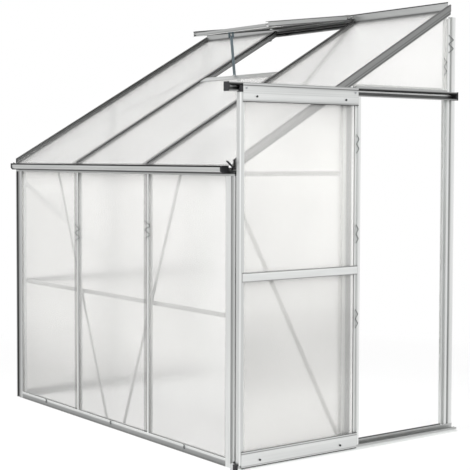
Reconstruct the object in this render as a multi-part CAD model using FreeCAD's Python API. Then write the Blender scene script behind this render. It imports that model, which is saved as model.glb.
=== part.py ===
import FreeCAD, Part
import math
import os

# Lean-to greenhouse with a sliding door in one gable and a roof window in the middle bay.
# Millimetres. +Z is up, X runs along the house wall, the low front wall faces -Y, the open
# back faces +Y and the door gable faces +X. The origin is on the ground, in the middle of
# the four anchor holes. The door stands open at the front and the roof window stands open.

V = FreeCAD.Vector

# Overall sizes
length = 1920.0
front_depth = 635.0
back_depth = 620.0
pitch = 30.0
rafter_face_at_front = 1241.0
base_height = 34.0
post_spacing = 626.0

# Extrusion sizes shared by the frame
wall = 2.0
sheet = 4.0
sheet_cover = 5.0
sheet_gap = 0.5
fit_gap = 0.3
frame_depth = 23.0
rafter_depth = 30.0
bar_width = 44.0
bar_rib = 11.0
bar_lip = 1.5
bar_channel = 12.0
bar_slot = 7.0
seat_flange = 12.0

# Corner posts: grooved face on the front, plain face on the gable
corner_front = 62.0
corner_side = 26.0
corner_edge = 9.0
corner_groove = 19.0
groove_depth = 5.0

# Gable rafters: cap over the roof sheet, stepped skirt over the gable sheet
verge_width = 26.0
verge_cap = 14.0
verge_rise = 10.0
verge_step = 2.5
verge_skirt = 17.0
verge_tail = 11.0
foot_cap_reach = 36.0
foot_cap_left_reach = 17.0
foot_cap_rise = 30.0
foot_cap_drop = 26.0
foot_cap_thickness = 3.0

# Base rails and ground anchors
base_shelf = 24.0
base_flange = 12.0
anchor_radius = 3.5
anchor_y = 400.0

# Eave beam and gutter
eave_bottom = 1186.0
eave_web = 1200.0
gutter_width = 36.0
gutter_height = 30.0
gutter_top = 1228.0
gutter_wall = 1.8
gutter_lip = 5.0
gutter_corner = 9.0
gutter_left_gap = 18.0
gutter_right_gap = 45.0
gutter_cap_length = 7.0
gutter_cap_wall = 2.5
roof_overhang = 4.0

# Ridge wall plate and its screws
ridge_front_y = 580.0
ridge_rise = 29.5
ridge_face_height = 47.0
ridge_back_height = 60.0
ridge_end_gap = 12.0
ridge_end_cut = 62.0
ridge_lip = 10.0
ridge_screw_inner = 300.0
ridge_screw_inset = 120.0
wall_screw_radius = 3.5

# Wall posts
wall_post_y = 557.0
wall_post_rib = 14.0
wall_post_groove = 12.0
wall_post_drop = 69.0
wall_leg = 34.0
wall_screw_low = 300.0
wall_screw_high = 1500.0
wall_screw_inset = 20.0

# Other gable members
mid_post_y = -42.0
jamb_y = -12.0
jamb_width = 48.0
jamb_return = 14.0
head_rail_lap = 4.0
head_rail_face = 14.0
head_rail_web = 3.0
head_rail_back = 34.0
eave_girt_z = 1184.0
girt_z = 605.0
girt_height = 20.0
girt_depth = 12.0

# Diagonal braces, given by the places of their bolts
brace_width = 20.0
brace_thickness = 2.0
brace_end = 9.0
front_brace_top_x = 542.0
front_brace_foot_x = 75.0
door_gable_brace_top = 1075.0
door_gable_brace_foot = 58.0
left_gable_brace_top = 1137.0
left_gable_brace_foot = 185.0
roof_brace_eave_inset = 39.0
roof_brace_ridge_inset = 35.0

# Bolts of the frame
bolt_radius = 3.0
bolt_hole = 3.3
bolt_head = 4.8
bolt_head_height = 3.0
nut_height = 4.0
bolt_end = 1.5
head_sides = 6
shank_sides = 8
foot_bolt_inset = 7.0

# Wire clips that press the sheets on their seats
clip_height = 80.0
clip_reach = 11.0
clip_wire = 0.8
front_clip_upper = 899.0
front_clip_middle = 855.0
front_clip_lower = 430.0
gable_clip_upper = 1200.0
gable_clip_lower = 500.0
head_clip_rise = 80.0

# Sliding door
door_front_lap = 5.0
door_rear_lap = 20.0
door_bottom = 22.0
door_sheet_end = 8.0
door_face = 35.0
door_depth = 20.0
stile_box = 16.0
stile_lip = 12.0
plate_thickness = 2.0
plate_rib = 3.0
plate_rib_rise = 1.5
plate_end_gap = 16.0
top_plate_rise = 32.0
top_plate_height = 74.0
bottom_plate_bottom = 8.0
bottom_plate_height = 69.0
mid_rail_bottom = 762.0
mid_rail_height = 37.0
plate_bolt_top_drop = 19.0
plate_bolt_top_inset = 86.0
plate_bolt_low_z = 33.0
guide_inset = 107.0

# Top track and rollers
track_bottom = 1524.0
track_height = 36.0
track_depth = 32.0
track_front_reach = 55.0
track_wall_gap = 16.0
track_shelf = 2.5
track_lower_lip = 7.0
track_upper_lip = 10.0
track_cap = 4.0
track_plug = 6.0
roller_radius = 11.0
roller_width = 14.0
roller_hub_radius = 7.0
roller_hub_width = 3.0
roller_inset = 33.0
roller_back_gap = 3.0
axle_radius = 2.9
axle_fit = 0.1
axle_collar = 5.5
axle_collar_length = 3.0
stile_top_gap = 3.0
stop_width = 16.0
stop_height = 24.0

# Bottom track and the shoes that run in it
sill_track_depth = 38.0
sill_track_floor = 6.0
sill_track_lip = 14.0
sill_track_front_gap = 6.0
sill_cap_length = 10.0
sill_cap_height = 28.0
guide_width = 8.0
guide_length = 40.0
guide_play = 1.0
guide_floor_gap = 1.5
guide_height = 50.0

# Roof window
hinge_y = 572.5
hinge_rod = 4.7
hinge_play = 0.3
hinge_shell = 2.0
hinge_neck = 2.4
hinge_mouth_room = 5.0
hinge_end = 6.0
window_gap = 2.5
window_slope = 7.2
window_width = 620.0
window_length = 541.0
window_drip = 8.0
window_thickness = 28.0
window_rail = 22.0
window_head = 14.0
window_sill_y = 80.0
window_sill_width = 34.0
window_sill_leg = 24.0

# Window stay, its bracket on the sash and its peg on the sill
stay_reach = 527.0
stay_drop = 36.0
stay_width = 19.0
stay_thickness = 2.5
stay_eye = 5.0
stay_eye_half = 9.5
stay_pin = 2.5
stay_play = 0.3
stay_slot = 5.4
stay_slot_above = 7.0
stay_slot_below = 9.0
stay_tail = 14.0
stay_handle = 2.6
stay_handle_back = 34.0
stay_handle_drop = 10.0
bracket_ear = 6.0
bracket_plate = 2.0
bracket_gap = 4.0
peg_x = -60.0
peg_gap = 5.5
peg_sink = 3.4
peg_radius = 2.2
peg_end = 5.0
peg_plate_width = 20.0
peg_plate_rise = 4.5
peg_plate_drop = 16.0

# Values worked out from the sizes above
side_x = length / 2
front_y = -front_depth
wall_y = back_depth
mid_x = post_spacing / 2
seat = sheet_cover + sheet
slope = math.tan(math.radians(pitch))
rise = 1 / math.cos(math.radians(pitch))
into_roof = (0, math.sin(math.radians(pitch)), -math.cos(math.radians(pitch)))
sheet_foot = base_shelf + sheet_gap
wall_post_face = wall_post_y + seat_flange
jamb_front_y = jamb_y - jamb_width
rib_half = bar_rib / 2
toe = seat_flange - wall
corner_toe_y = front_y + corner_side + toe / 2
jamb_toe_y = jamb_front_y - toe / 2
wall_toe_y = wall_post_y + wall + toe / 2
track_front_y = front_y - track_front_reach
track_rear_y = wall_y - track_wall_gap
head_rail_z = track_bottom + track_height - head_rail_lap
top_plate_top = track_bottom + top_plate_rise
plate_bolt_top_z = track_bottom - plate_bolt_top_drop
door_front_y = front_y - door_front_lap
door_rear_y = jamb_y + door_rear_lap
door_x = side_x + door_face
door_middle_x = door_x - door_depth / 2
plate_x = door_x + plate_thickness
plate_out_x = plate_x + plate_rib_rise
plate_front_y = door_front_y + plate_end_gap
plate_rear_y = door_rear_y - plate_end_gap
stile_top = track_bottom - stile_top_gap
roller_z = track_bottom + track_shelf + fit_gap + roller_radius
roller_ys = (door_front_y + roller_inset, door_rear_y - roller_inset)
guide_ys = (door_front_y + guide_inset, door_rear_y - guide_inset)
sill_y = window_sill_y + window_sill_width
peg_y = sill_y + peg_gap


def roof_z(y, below=0.0):
    """Height of the rafters' outer face at y, or of a plane parallel to it and below it."""
    return rafter_face_at_front + (y - front_y) * slope - below * rise


ridge_top = roof_z(ridge_front_y) + ridge_rise
ridge_bottom = ridge_top - ridge_face_height
ridge_back_bottom = ridge_top - ridge_back_height
wall_post_top = ridge_top - wall_post_drop
hinge_z = roof_z(hinge_y, -window_thickness / 2 - window_gap)
peg_z = roof_z(sill_y, peg_sink)


def window_point(y, z):
    """Where a (y, z) point of the flat window comes to lie at the window's rest slope."""
    a = math.radians(window_slope)
    return (hinge_y + y * math.cos(a) - z * math.sin(a), hinge_z + y * math.sin(a) + z * math.cos(a))


def push(points, direction):
    """Closed outline of 3-D points, pushed along a vector."""
    wire = Part.makePolygon([V(*p) for p in points] + [V(*points[0])])
    return Part.Face(wire).extrude(V(*direction))


def along_x(points, x0, x1):
    """Section of (y, z) points carried from x0 to x1."""
    return push([(x0, y, z) for y, z in points], (x1 - x0, 0, 0))


def along_y(points, y0, y1):
    """Section of (x, z) points carried from y0 to y1."""
    return push([(x, y0, z) for x, z in points], (0, y1 - y0, 0))


def along_z(points, z0, z1):
    """Section of (x, y) points carried from z0 to z1."""
    return push([(x, y, z0) for x, y in points], (0, 0, z1 - z0))


def along_roof(points, y0, y1):
    """Section of (x, depth below the roof) points carried up the pitch, ends cut upright."""
    run = y1 - y0
    return push([(x, y0, roof_z(y0, w)) for x, w in points], (0, run, run * slope))


def box(x0, x1, y0, y1, z0, z1):
    """Block between two corners, given in any order."""
    low = V(min(x0, x1), min(y0, y1), min(z0, z1))
    return Part.makeBox(abs(x1 - x0), abs(y1 - y0), abs(z1 - z0), low)


def rod(radius, start, end):
    """Round bar from one point to another."""
    start = V(*start)
    run = V(*end) - start
    return Part.makeCylinder(radius, run.Length, start, run)


def strip(p0, p1, normal, width, thickness, extra=0.0):
    """Flat bar between two points, longer by extra at both ends, thick along the normal."""
    p0 = V(*p0)
    p1 = V(*p1)
    n = V(*normal)
    run = p1 - p0
    run.normalize()
    p0 = p0 - run * extra
    p1 = p1 + run * extra
    half = run.cross(n) * (width / 2)
    corners = [p0 - half, p1 - half, p1 + half, p0 + half]
    wire = Part.makePolygon(corners + [corners[0]])
    return Part.Face(wire).extrude(n * thickness)


def prism(centre, axis, radius, height, sides):
    """Prism with that many sides on a point, standing along an axis."""
    across = V(0, 0, 1) if abs(axis.x) > 0.5 else V(1, 0, 0)
    other = axis.cross(across)
    ring = []
    for k in range(sides):
        a = 2 * math.pi * k / sides
        ring.append(centre + across * (radius * math.cos(a)) + other * (radius * math.sin(a)))
    return Part.Face(Part.makePolygon(ring + [ring[0]])).extrude(axis * height)


def bolt(point, inward, grip):
    """Bolt through a stack of thickness grip: head before the point, nut behind the stack."""
    p = V(*point)
    n = V(*inward)
    head = prism(p, n * -1, bolt_head, bolt_head_height, head_sides)
    nut = prism(p + n * grip, n, bolt_head, nut_height, head_sides)
    reach = bolt_head_height / 2
    shank = prism(p - n * reach, n, bolt_radius, reach + grip + nut_height + bolt_end, shank_sides)
    return head.fuse(shank).fuse(nut).removeSplitter()


def front_brace_ends():
    """Bolt places of the right-hand front brace, as (x, z): foot and top."""
    foot = (front_brace_foot_x, (base_shelf + base_height) / 2)
    top = (front_brace_top_x, (eave_bottom + eave_web) / 2)
    return foot, top


def roof_brace_ends():
    """Bolt places of a roof brace, as (x, y): over the eave corner and near the ridge."""
    eave = (side_x - (verge_width + verge_cap - wall) / 2, front_y + roof_brace_eave_inset)
    ridge_end = (mid_x, ridge_front_y - roof_brace_ridge_inset)
    return eave, ridge_end


def bolt_places():
    """Every bolt of the frame, as (point on the outer side, inward direction, grip)."""
    places = []
    y = front_y + frame_depth - wall
    through_brace = wall + brace_thickness
    through_girt = through_brace + wall
    mid_z = girt_z + girt_height / 2 + wall / 2
    for side in (-1, 1):
        for x, z in front_brace_ends():
            places.append(((side * x, y, z), (0, 1, 0), through_brace))
        for x in (mid_x, side_x - corner_front - toe / 2):
            places.append(((side * x, y, mid_z), (0, 1, 0), through_girt))

    x = side_x - frame_depth + wall
    high_z = eave_girt_z + girt_height / 2 + wall / 2
    right = [
        (corner_toe_y, door_gable_brace_top), (jamb_toe_y, door_gable_brace_foot),
        (corner_toe_y, high_z), (jamb_toe_y, high_z),
    ]
    left = [
        (corner_toe_y, left_gable_brace_top), (wall_toe_y, left_gable_brace_foot),
        (corner_toe_y, high_z), (mid_post_y, high_z),
    ]
    for side, list_of_places in ((1, right), (-1, left)):
        for y, z in list_of_places:
            places.append(((side * x, y, z), (-side, 0, 0), through_brace))
    for y in (corner_toe_y, mid_post_y, wall_toe_y):
        places.append(((-x, y, mid_z), (1, 0, 0), through_girt))

    foot_y = front_y + foot_bolt_inset
    for side in (-1, 1):
        places.append(((side * side_x, foot_y, roof_z(foot_y)), (-side, 0, 0), wall))
        for bx, by in roof_brace_ends():
            point = (side * bx, by, roof_z(by, rafter_depth - wall))
            places.append((point, into_roof, through_brace))
    return places


def drilled(shape):
    """The shape with a hole for every bolt of the frame that passes through it."""
    for point, inward, grip in bolt_places():
        start = V(*point)
        hole = prism(start, V(*inward), bolt_hole, grip, shank_sides)
        if shape.BoundBox.intersect(hole.BoundBox):
            shape = shape.cut(hole)
    return shape


def save(name, *solids):
    """Write one node, as one solid or as a group of separate solids."""
    shape = solids[0] if len(solids) == 1 else Part.makeCompound(list(solids))
    if not shape.isValid():
        raise ValueError("broken shape: " + name)
    shape.exportStep("parts/" + name + ".step")


def bar_section(back):
    """Glazing bar: outer rib with lips, two seats for the sheets, bolt channel behind."""
    half = bar_width / 2
    lip = rib_half + bar_lip
    web = bar_channel / 2 + wall
    inner = bar_channel / 2
    slot = bar_slot / 2
    right = [
        (lip, 0), (lip, bar_lip), (rib_half, bar_lip), (rib_half, seat), (half, seat),
        (half, seat + wall), (web, seat + wall), (web, back), (slot, back), (slot, back - wall),
        (inner, back - wall), (inner, seat + wall),
    ]
    left = [(-u, w) for u, w in reversed(right)]
    return right + left


def corner_section():
    """Corner post as (in from the gable face, in from the front face), thin walled.

    Each side has a seat for the sheets and behind it a toe that girts and braces bolt to.
    """
    t = wall
    f = corner_front
    s = corner_side
    e = corner_edge
    g = corner_edge + corner_groove
    deep = groove_depth
    back = frame_depth
    fl = seat_flange
    return [
        (0, 0), (e, 0), (e, deep), (g, deep), (g, 0), (f, 0), (f, seat), (f + fl, seat),
        (f + fl, back), (f, back), (f, back - t), (f + fl - t, back - t), (f + fl - t, seat + t),
        (f - t, seat + t), (f - t, t), (g + t, t), (g + t, deep + t), (e - t, deep + t), (e - t, t),
        (t, t), (t, s - t), (seat + t, s - t), (seat + t, s + fl - t), (back - t, s + fl - t),
        (back - t, s), (back, s), (back, s + fl), (seat, s + fl), (seat, s), (0, s),
    ]


def jamb_section():
    """Door jamb as (in from the gable face, y): seat and toe on the front side, plain on the other."""
    t = wall
    a = jamb_front_y
    b = jamb_y
    fl = seat_flange
    back = frame_depth
    return [
        (0, a), (0, b), (back, b), (back, b - jamb_return), (back - t, b - jamb_return),
        (back - t, b - t), (t, b - t), (t, a + t), (seat + t, a + t), (seat + t, a - fl + t),
        (back - t, a - fl + t), (back - t, a), (back, a), (back, a - fl), (seat, a - fl), (seat, a),
    ]


def wall_section():
    """Wall post as (in from the gable face, y): seat, rib, groove, and a leg on the house wall."""
    t = wall
    a = wall_post_y
    b = wall_post_face
    c = b + wall_post_rib
    d = c + wall_post_groove
    deep = groove_depth
    back = frame_depth
    return [
        (seat, a), (seat, b), (0, b), (0, c), (deep, c), (deep, d), (0, d), (0, wall_y),
        (wall_leg, wall_y), (wall_leg, wall_y - t), (t, wall_y - t), (t, d + t), (deep + t, d + t),
        (deep + t, c - t), (t, c - t), (t, b + t), (seat + t, b + t), (seat + t, a + t),
        (back - t, a + t), (back - t, b), (back, b), (back, a),
    ]


def verge_section():
    """Gable rafter as (in from the gable face, below the roof face), with a stepped skirt."""
    t = wall
    w = verge_width
    d = rafter_depth
    c = verge_cap
    k = verge_step
    up = -verge_rise
    sk = verge_skirt
    return [
        (0, up), (c, up), (c, seat), (w, seat), (w, d), (c - t, d), (c - t, d - t), (w - t, d - t),
        (w - t, seat + t), (c - t, seat + t), (c - t, up + t), (t, up + t), (t, sk - t),
        (t + k, sk - t), (t + k, d), (k, d), (k, sk), (0, sk),
    ]


def base_section():
    """Base rail as (in from the outer face, up): outer lip, shelf, inner lip and foot flange."""
    t = wall
    h = base_height
    d = frame_depth
    return [
        (0, 0), (d + base_flange, 0), (d + base_flange, t), (d, t), (d, h), (d - t, h),
        (d - t, base_shelf), (t, base_shelf), (t, h), (0, h),
    ]


def base_void():
    """Hollow of the base rail under its shelf."""
    far = frame_depth - wall
    return [(wall, wall), (far, wall), (far, base_shelf - wall), (wall, base_shelf - wall)]


def girt_section(start, inward, z):
    """Angle with its upright leg against the posts and its shelf turned inwards."""
    a = start
    b = start + inward * girt_depth
    t = start + inward * wall
    return [(a, z), (b, z), (b, z + wall), (t, z + wall), (t, z + girt_height), (a, z + girt_height)]


def base_rails():
    """Three hollow rails on the ground, with anchor holes in the gable rails' foot flanges."""
    x_end = side_x - corner_front
    front = along_x([(front_y + u, z) for u, z in base_section()], -x_end, x_end)
    front = front.cut(along_x([(front_y + u, z) for u, z in base_void()], -x_end, x_end))
    save("base_rail_front", drilled(front))

    y_start = front_y + corner_side
    anchor_x = side_x - frame_depth - base_flange / 2
    for side, name in ((-1, "left"), (1, "right")):
        outline = [(side * (side_x - u), z) for u, z in base_section()]
        hollow = [(side * (side_x - u), z) for u, z in base_void()]
        rail = along_y(outline, y_start, wall_post_face)
        rail = rail.cut(along_y(hollow, y_start, wall_post_face))
        for y in (-anchor_y, anchor_y):
            hole = rod(anchor_radius, (side * anchor_x, y, -wall), (side * anchor_x, y, 2 * wall))
            rail = rail.cut(hole)
        save("base_rail_" + name, drilled(rail))


def posts():
    """Corner, front, gable and wall posts with their own extruded sections."""
    far = frame_depth + wall
    for side, name in ((-1, "left"), (1, "right")):
        outline = [(side * (side_x - u), front_y + w) for u, w in corner_section()]
        post = along_z(outline, 0, eave_bottom)
        x = side * (side_x - corner_front)
        room = box(x, x - side * 2 * seat_flange, front_y, front_y + far, 0, base_height)
        post = post.cut(room)
        y = front_y + corner_side
        room = box(side * side_x, side * (side_x - far), y, y + 2 * seat_flange, 0, base_height)
        save("corner_post_" + name, drilled(post.cut(room)))

    front = []
    for x in (-mid_x, mid_x):
        outline = [(x + u, front_y + w) for u, w in bar_section(frame_depth)]
        front.append(drilled(along_z(outline, base_height, eave_bottom)))
    save("front_posts", *front)

    top = roof_z(mid_post_y - bar_width / 2, rafter_depth) - sheet_gap
    outline = [(-side_x + w, mid_post_y + u) for u, w in bar_section(frame_depth)]
    save("gable_post_left", drilled(along_z(outline, base_height, top)))

    top = roof_z(jamb_front_y - seat_flange, rafter_depth) - sheet_gap
    outline = [(side_x - w, y) for w, y in jamb_section()]
    save("door_jamb_post", drilled(along_z(outline, base_height, top)))

    under_rafter = roof_z(wall_post_y, rafter_depth) - sheet_gap
    for side, name in ((-1, "left"), (1, "right")):
        outline = [(side * (side_x - w), y) for w, y in wall_section()]
        post = along_z(outline, 0, wall_post_top)
        inner_x = side * (side_x - wall_leg)
        edge_x = side * (side_x + wall)
        post = post.cut(box(edge_x, inner_x, wall_post_y - wall, ridge_front_y, under_rafter, ridge_top))
        post = post.cut(box(edge_x, inner_x, wall_post_y - wall, wall_post_face, 0, base_height))
        x = side * (side_x - wall_screw_inset)
        for z in (wall_screw_low, wall_screw_high):
            post = post.cut(rod(wall_screw_radius, (x, wall_y - 2 * wall, z), (x, wall_y + wall, z)))
        save("wall_post_" + name, drilled(post))


def eave_beam():
    """Beam on the front posts: two upright legs joined by a web, tops cut to the pitch."""
    t = wall
    y = front_y
    b = front_y + frame_depth
    outline = [
        (y, eave_bottom), (y + t, eave_bottom), (y + t, eave_web), (b - t, eave_web),
        (b - t, eave_bottom), (b, eave_bottom), (b, roof_z(b, rafter_depth)),
        (b - t, roof_z(b - t, rafter_depth)), (b - t, eave_web + t), (y + t, eave_web + t),
        (y + t, roof_z(y + t, rafter_depth)), (y, roof_z(y, rafter_depth)),
    ]
    x_end = side_x - wall
    save("eave_beam", drilled(along_x(outline, -x_end, x_end)))


def gutter():
    """Gutter before the eave beam, with a chamfered trough, a front lip and two sleeved caps."""
    back = front_y - fit_gap
    front = back - gutter_width
    low = gutter_top - gutter_height
    x0 = -side_x + gutter_left_gap
    x1 = side_x - gutter_right_gap
    g = gutter_wall
    c = gutter_corner
    outline = [
        (back, gutter_top), (back, low), (front + c, low), (front, low + c), (front, gutter_top),
        (front + gutter_lip, gutter_top), (front + gutter_lip, gutter_top - g),
        (front + g, gutter_top - g), (front + g, low + c + g / 2), (front + c + g / 2, low + g),
        (back - g, low + g), (back - g, gutter_top),
    ]
    save("gutter", along_x(outline, x0, x1))

    r = gutter_cap_wall
    shell = [
        (back, gutter_top), (back, low - r), (front + c - r, low - r), (front - r, low + c - r),
        (front - r, gutter_top),
    ]
    trough = [
        (back + r, gutter_top + r), (back + r, low), (front + c, low), (front, low + c),
        (front, gutter_top + r),
    ]
    caps = []
    for x, out in ((x0, -1), (x1, 1)):
        inner_x = x - out * gutter_cap_length
        sleeve = along_x(shell, x, inner_x).cut(along_x(trough, x, inner_x))
        caps.append(along_x(shell, x, x + out * r).fuse(sleeve).removeSplitter())
    save("gutter_end_caps", *caps)


def foot_caps():
    """Bent strips at the feet of the gable rafters, rising outwards; the left one is shorter."""
    z = roof_z(front_y) - foot_cap_drop
    t = foot_cap_thickness
    caps = []
    for side, reach in ((-1, foot_cap_left_reach), (1, foot_cap_reach)):
        y = front_y - reach
        high = z + foot_cap_rise * reach / foot_cap_reach
        outline = [(front_y, z), (front_y, z + t), (y, high + t), (y, high)]
        caps.append(along_x(outline, side * side_x, side * (side_x - verge_cap)))
    save("rafter_foot_caps", *caps)


def ridge():
    """Wall plate: front fascia with a round hinge channel, top web and screw flange behind.

    The fascia runs past the web and the flange at both ends.
    """
    t = wall
    f = ridge_front_y
    x_end = side_x - ridge_end_gap
    outline = [
        (f, ridge_bottom), (f, ridge_top), (wall_y, ridge_top), (wall_y, ridge_back_bottom),
        (wall_y - t, ridge_back_bottom), (wall_y - t, ridge_top - t), (f + t, ridge_top - t),
        (f + t, ridge_bottom + t), (f + ridge_lip, ridge_bottom + t), (f + ridge_lip, ridge_bottom),
    ]
    body = along_x(outline, -x_end, x_end)
    for side in (-1, 1):
        body = body.cut(box(side * (x_end - ridge_end_cut), side * side_x, f + t, wall_y + t,
                            ridge_back_bottom - t, ridge_top + t))

    bore = hinge_rod + hinge_play
    shell = bore + hinge_shell
    x_hinge = window_width / 2 + hinge_end
    knuckle = rod(shell, (-x_hinge, hinge_y, hinge_z), (x_hinge, hinge_y, hinge_z))
    knuckle = knuckle.fuse(box(-x_hinge, x_hinge, hinge_y, f, hinge_z - t, hinge_z + t))
    knuckle = knuckle.cut(rod(bore, (-x_hinge, hinge_y, hinge_z), (x_hinge, hinge_y, hinge_z)))
    spread = math.degrees(math.asin(hinge_neck / 2 / bore)) + hinge_mouth_room
    mouth = [(hinge_y, hinge_z)]
    for angle in (180 + window_slope - spread, 180 + (window_slope + pitch) / 2, 180 + pitch + spread):
        a = math.radians(angle)
        mouth.append((hinge_y + 2 * shell * math.cos(a), hinge_z + 2 * shell * math.sin(a)))
    knuckle = knuckle.cut(along_x(mouth, -x_hinge, x_hinge))
    body = body.fuse(knuckle).removeSplitter()

    z = (ridge_top + ridge_back_bottom) / 2
    outer_screw = side_x - ridge_screw_inset
    for x in (-outer_screw, -ridge_screw_inner, ridge_screw_inner, outer_screw):
        body = body.cut(rod(wall_screw_radius, (x, wall_y - 2 * t, z), (x, wall_y + t, z)))
    save("ridge_wall_plate", body)


def rafters():
    """Two stepped gable rafters, which pass the ends of the fascia, and two glazing bars."""
    end = ridge_front_y - sheet_gap
    for side, name in ((-1, "left"), (1, "right")):
        outline = [(side * (side_x - u), w) for u, w in verge_section()]
        rafter = along_roof(outline, front_y, end + verge_tail)
        room = box(0, side * (side_x - ridge_end_gap + fit_gap), end, wall_y, 0, 2 * ridge_top)
        save("gable_rafter_" + name, drilled(rafter.cut(room)))
    bars = []
    for x in (-mid_x, mid_x):
        outline = [(x + u, w) for u, w in bar_section(rafter_depth)]
        bars.append(drilled(along_roof(outline, front_y, end)))
    save("mid_rafters", *bars)


def window_sill():
    """Bar under the roof window: a plate on the sheet's upper edge and a deep inner leg."""
    t = wall
    a = window_sill_y
    b = sill_y
    half = mid_x - rib_half - bar_lip - sheet_gap
    inner_half = mid_x - bar_width / 2 - sheet_gap
    cover = sheet_cover - fit_gap
    low = seat - fit_gap
    top = cover - t
    outline = [
        (a, roof_z(a, top)), (b, roof_z(b, top)), (b, roof_z(b, low)), (b - t, roof_z(b - t, low)),
        (b - t, roof_z(b - t, cover)), (a, roof_z(a, cover)),
    ]
    leg = [
        (b, roof_z(b, cover)), (b, roof_z(b, window_sill_leg)),
        (b - t, roof_z(b - t, window_sill_leg)), (b - t, roof_z(b - t, cover)),
    ]
    bar = along_x(outline, -half, half).fuse(along_x(leg, -inner_half, inner_half))
    save("window_sill", bar.removeSplitter())


def head_rails():
    """Rails across the gables at the height of the door's top, between rafter and wall post."""
    z = head_rail_z
    t = wall
    face = sheet_cover - fit_gap
    web = z + head_rail_face / 2
    half = head_rail_back / 2
    back = frame_depth
    outline = [
        (0, z), (face, z), (face, web), (back - t, web), (back - t, web - half), (back, web - half),
        (back, web + half), (back - t, web + half), (back - t, web + head_rail_web),
        (face, web + head_rail_web), (face, z + head_rail_face), (0, z + head_rail_face),
    ]
    start = front_y + (web + half + rafter_depth * rise - rafter_face_at_front) / slope + sheet_gap
    rails = []
    for side in (-1, 1):
        section = [(side * (side_x - w), h) for w, h in outline]
        long_part = along_y(section, start, wall_post_face)
        post = [(side * (side_x - w), y) for w, y in wall_section()]
        parts = long_part.cut(along_z(post, web - head_rail_back, web + head_rail_back)).Solids
        rails.append(max(parts, key=lambda solid: solid.Volume))
    save("head_rails", *rails)


def girts():
    """Angles across the inner side of the posts, at middle and eave height."""
    x_end = side_x - corner_front
    offset = frame_depth + brace_thickness
    section = girt_section(front_y + offset, 1, girt_z)
    save("front_girt", drilled(along_x(section, -x_end, x_end)))

    y_start = front_y + corner_side
    low = along_y(girt_section(-side_x + offset, 1, girt_z), y_start, wall_post_face)
    high_left = along_y(girt_section(-side_x + frame_depth, 1, eave_girt_z), y_start,
                        mid_post_y + bar_width / 2)
    high_right = along_y(girt_section(side_x - frame_depth, -1, eave_girt_z), y_start, jamb_front_y)
    save("gable_girts", drilled(low), drilled(high_left), drilled(high_right))


def braces():
    """Flat diagonal strips against the inner side of the posts and rafters."""
    y = front_y + frame_depth
    foot, top = front_brace_ends()
    front = []
    for side in (-1, 1):
        brace = strip((side * foot[0], y, foot[1]), (side * top[0], y, top[1]), (0, 1, 0),
                      brace_width, brace_thickness, brace_end)
        front.append(drilled(brace))
    save("front_braces", *front)

    x = side_x - frame_depth
    right = strip((x, corner_toe_y, door_gable_brace_top), (x, jamb_toe_y, door_gable_brace_foot),
                  (-1, 0, 0), brace_width, brace_thickness, brace_end)
    left = strip((-x, corner_toe_y, left_gable_brace_top), (-x, wall_toe_y, left_gable_brace_foot),
                 (1, 0, 0), brace_width, brace_thickness, brace_end)
    save("gable_braces", drilled(left), drilled(right))

    eave, ridge_end = roof_brace_ends()
    roof = []
    for side in (-1, 1):
        start = (side * eave[0], eave[1], roof_z(eave[1], rafter_depth))
        end = (side * ridge_end[0], ridge_end[1], roof_z(ridge_end[1], rafter_depth))
        brace = strip(start, end, into_roof, brace_width, brace_thickness, brace_end)
        corner = box(side * side_x, side * (side_x - seat - sheet_gap), front_y, mid_post_y, 0, ridge_top)
        roof.append(drilled(brace.cut(corner)))
    save("roof_braces", *roof)


def front_sheets():
    """Three twin-wall sheets between the posts of the front wall."""
    edges = [-side_x + corner_front, -mid_x, mid_x, side_x - corner_front]
    inset = [sheet_gap, rib_half + sheet_gap, rib_half + sheet_gap, sheet_gap]
    y = front_y + sheet_cover
    for k, name in enumerate(("left", "middle", "right")):
        a = edges[k] + inset[k]
        b = edges[k + 1] - inset[k + 1]
        save("front_sheet_" + name, box(a, b, y, y + sheet, sheet_foot, eave_web - sheet_gap))


def gable_sheet(side, outline):
    """One gable sheet from its (y, z) outline."""
    x = side * (side_x - sheet_cover)
    return push([(x, y, z) for y, z in outline], (-side * sheet, 0, 0))


def gable_sheets():
    """Twin-wall sheets of the gables, their tops held in the skirts of the gable rafters."""
    up = verge_skirt - sheet
    foot = sheet_foot
    web = head_rail_z + head_rail_face / 2
    ya = front_y + corner_side + sheet_gap
    yb = mid_post_y - rib_half - sheet_gap
    yc = mid_post_y + rib_half + sheet_gap
    yd = wall_post_face - sheet_gap
    ye = jamb_front_y - sheet_gap
    low = web + head_rail_web + sheet_gap
    y_point = front_y + (low + rafter_depth * rise - rafter_face_at_front) / slope
    front_left = [(ya, foot), (yb, foot), (yb, roof_z(yb, up)), (ya, roof_z(ya, up))]
    front_right = [(ya, foot), (ye, foot), (ye, roof_z(ye, up)), (ya, roof_z(ya, up))]
    rear_left = [(yc, foot), (yd, foot), (yd, web - sheet_gap), (yc, web - sheet_gap)]
    top = [(y_point, low), (yd, low), (yd, roof_z(yd, up)), (y_point, roof_z(y_point, up))]
    save("left_gable_sheet_front", gable_sheet(-1, front_left))
    save("left_gable_sheet_rear", gable_sheet(-1, rear_left))
    save("right_gable_sheet_front", gable_sheet(1, front_right))
    save("gable_top_sheets", gable_sheet(-1, top), gable_sheet(1, top))


def roof_sheets():
    """Twin-wall sheets of the roof. The middle one ends under the sill of the window."""
    edges = [-side_x + verge_cap, -mid_x, mid_x, side_x - verge_cap]
    inset = [sheet_gap, rib_half + sheet_gap, rib_half + sheet_gap, sheet_gap]
    for k, name in enumerate(("left", "middle", "right")):
        a = edges[k] + inset[k]
        b = edges[k + 1] - inset[k + 1]
        end = sill_y - wall - sheet_gap if name == "middle" else ridge_front_y - 2 * sheet_gap
        outline = [(a, sheet_cover), (b, sheet_cover), (b, seat), (a, seat)]
        save("roof_sheet_" + name, along_roof(outline, front_y - roof_overhang, end))


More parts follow.
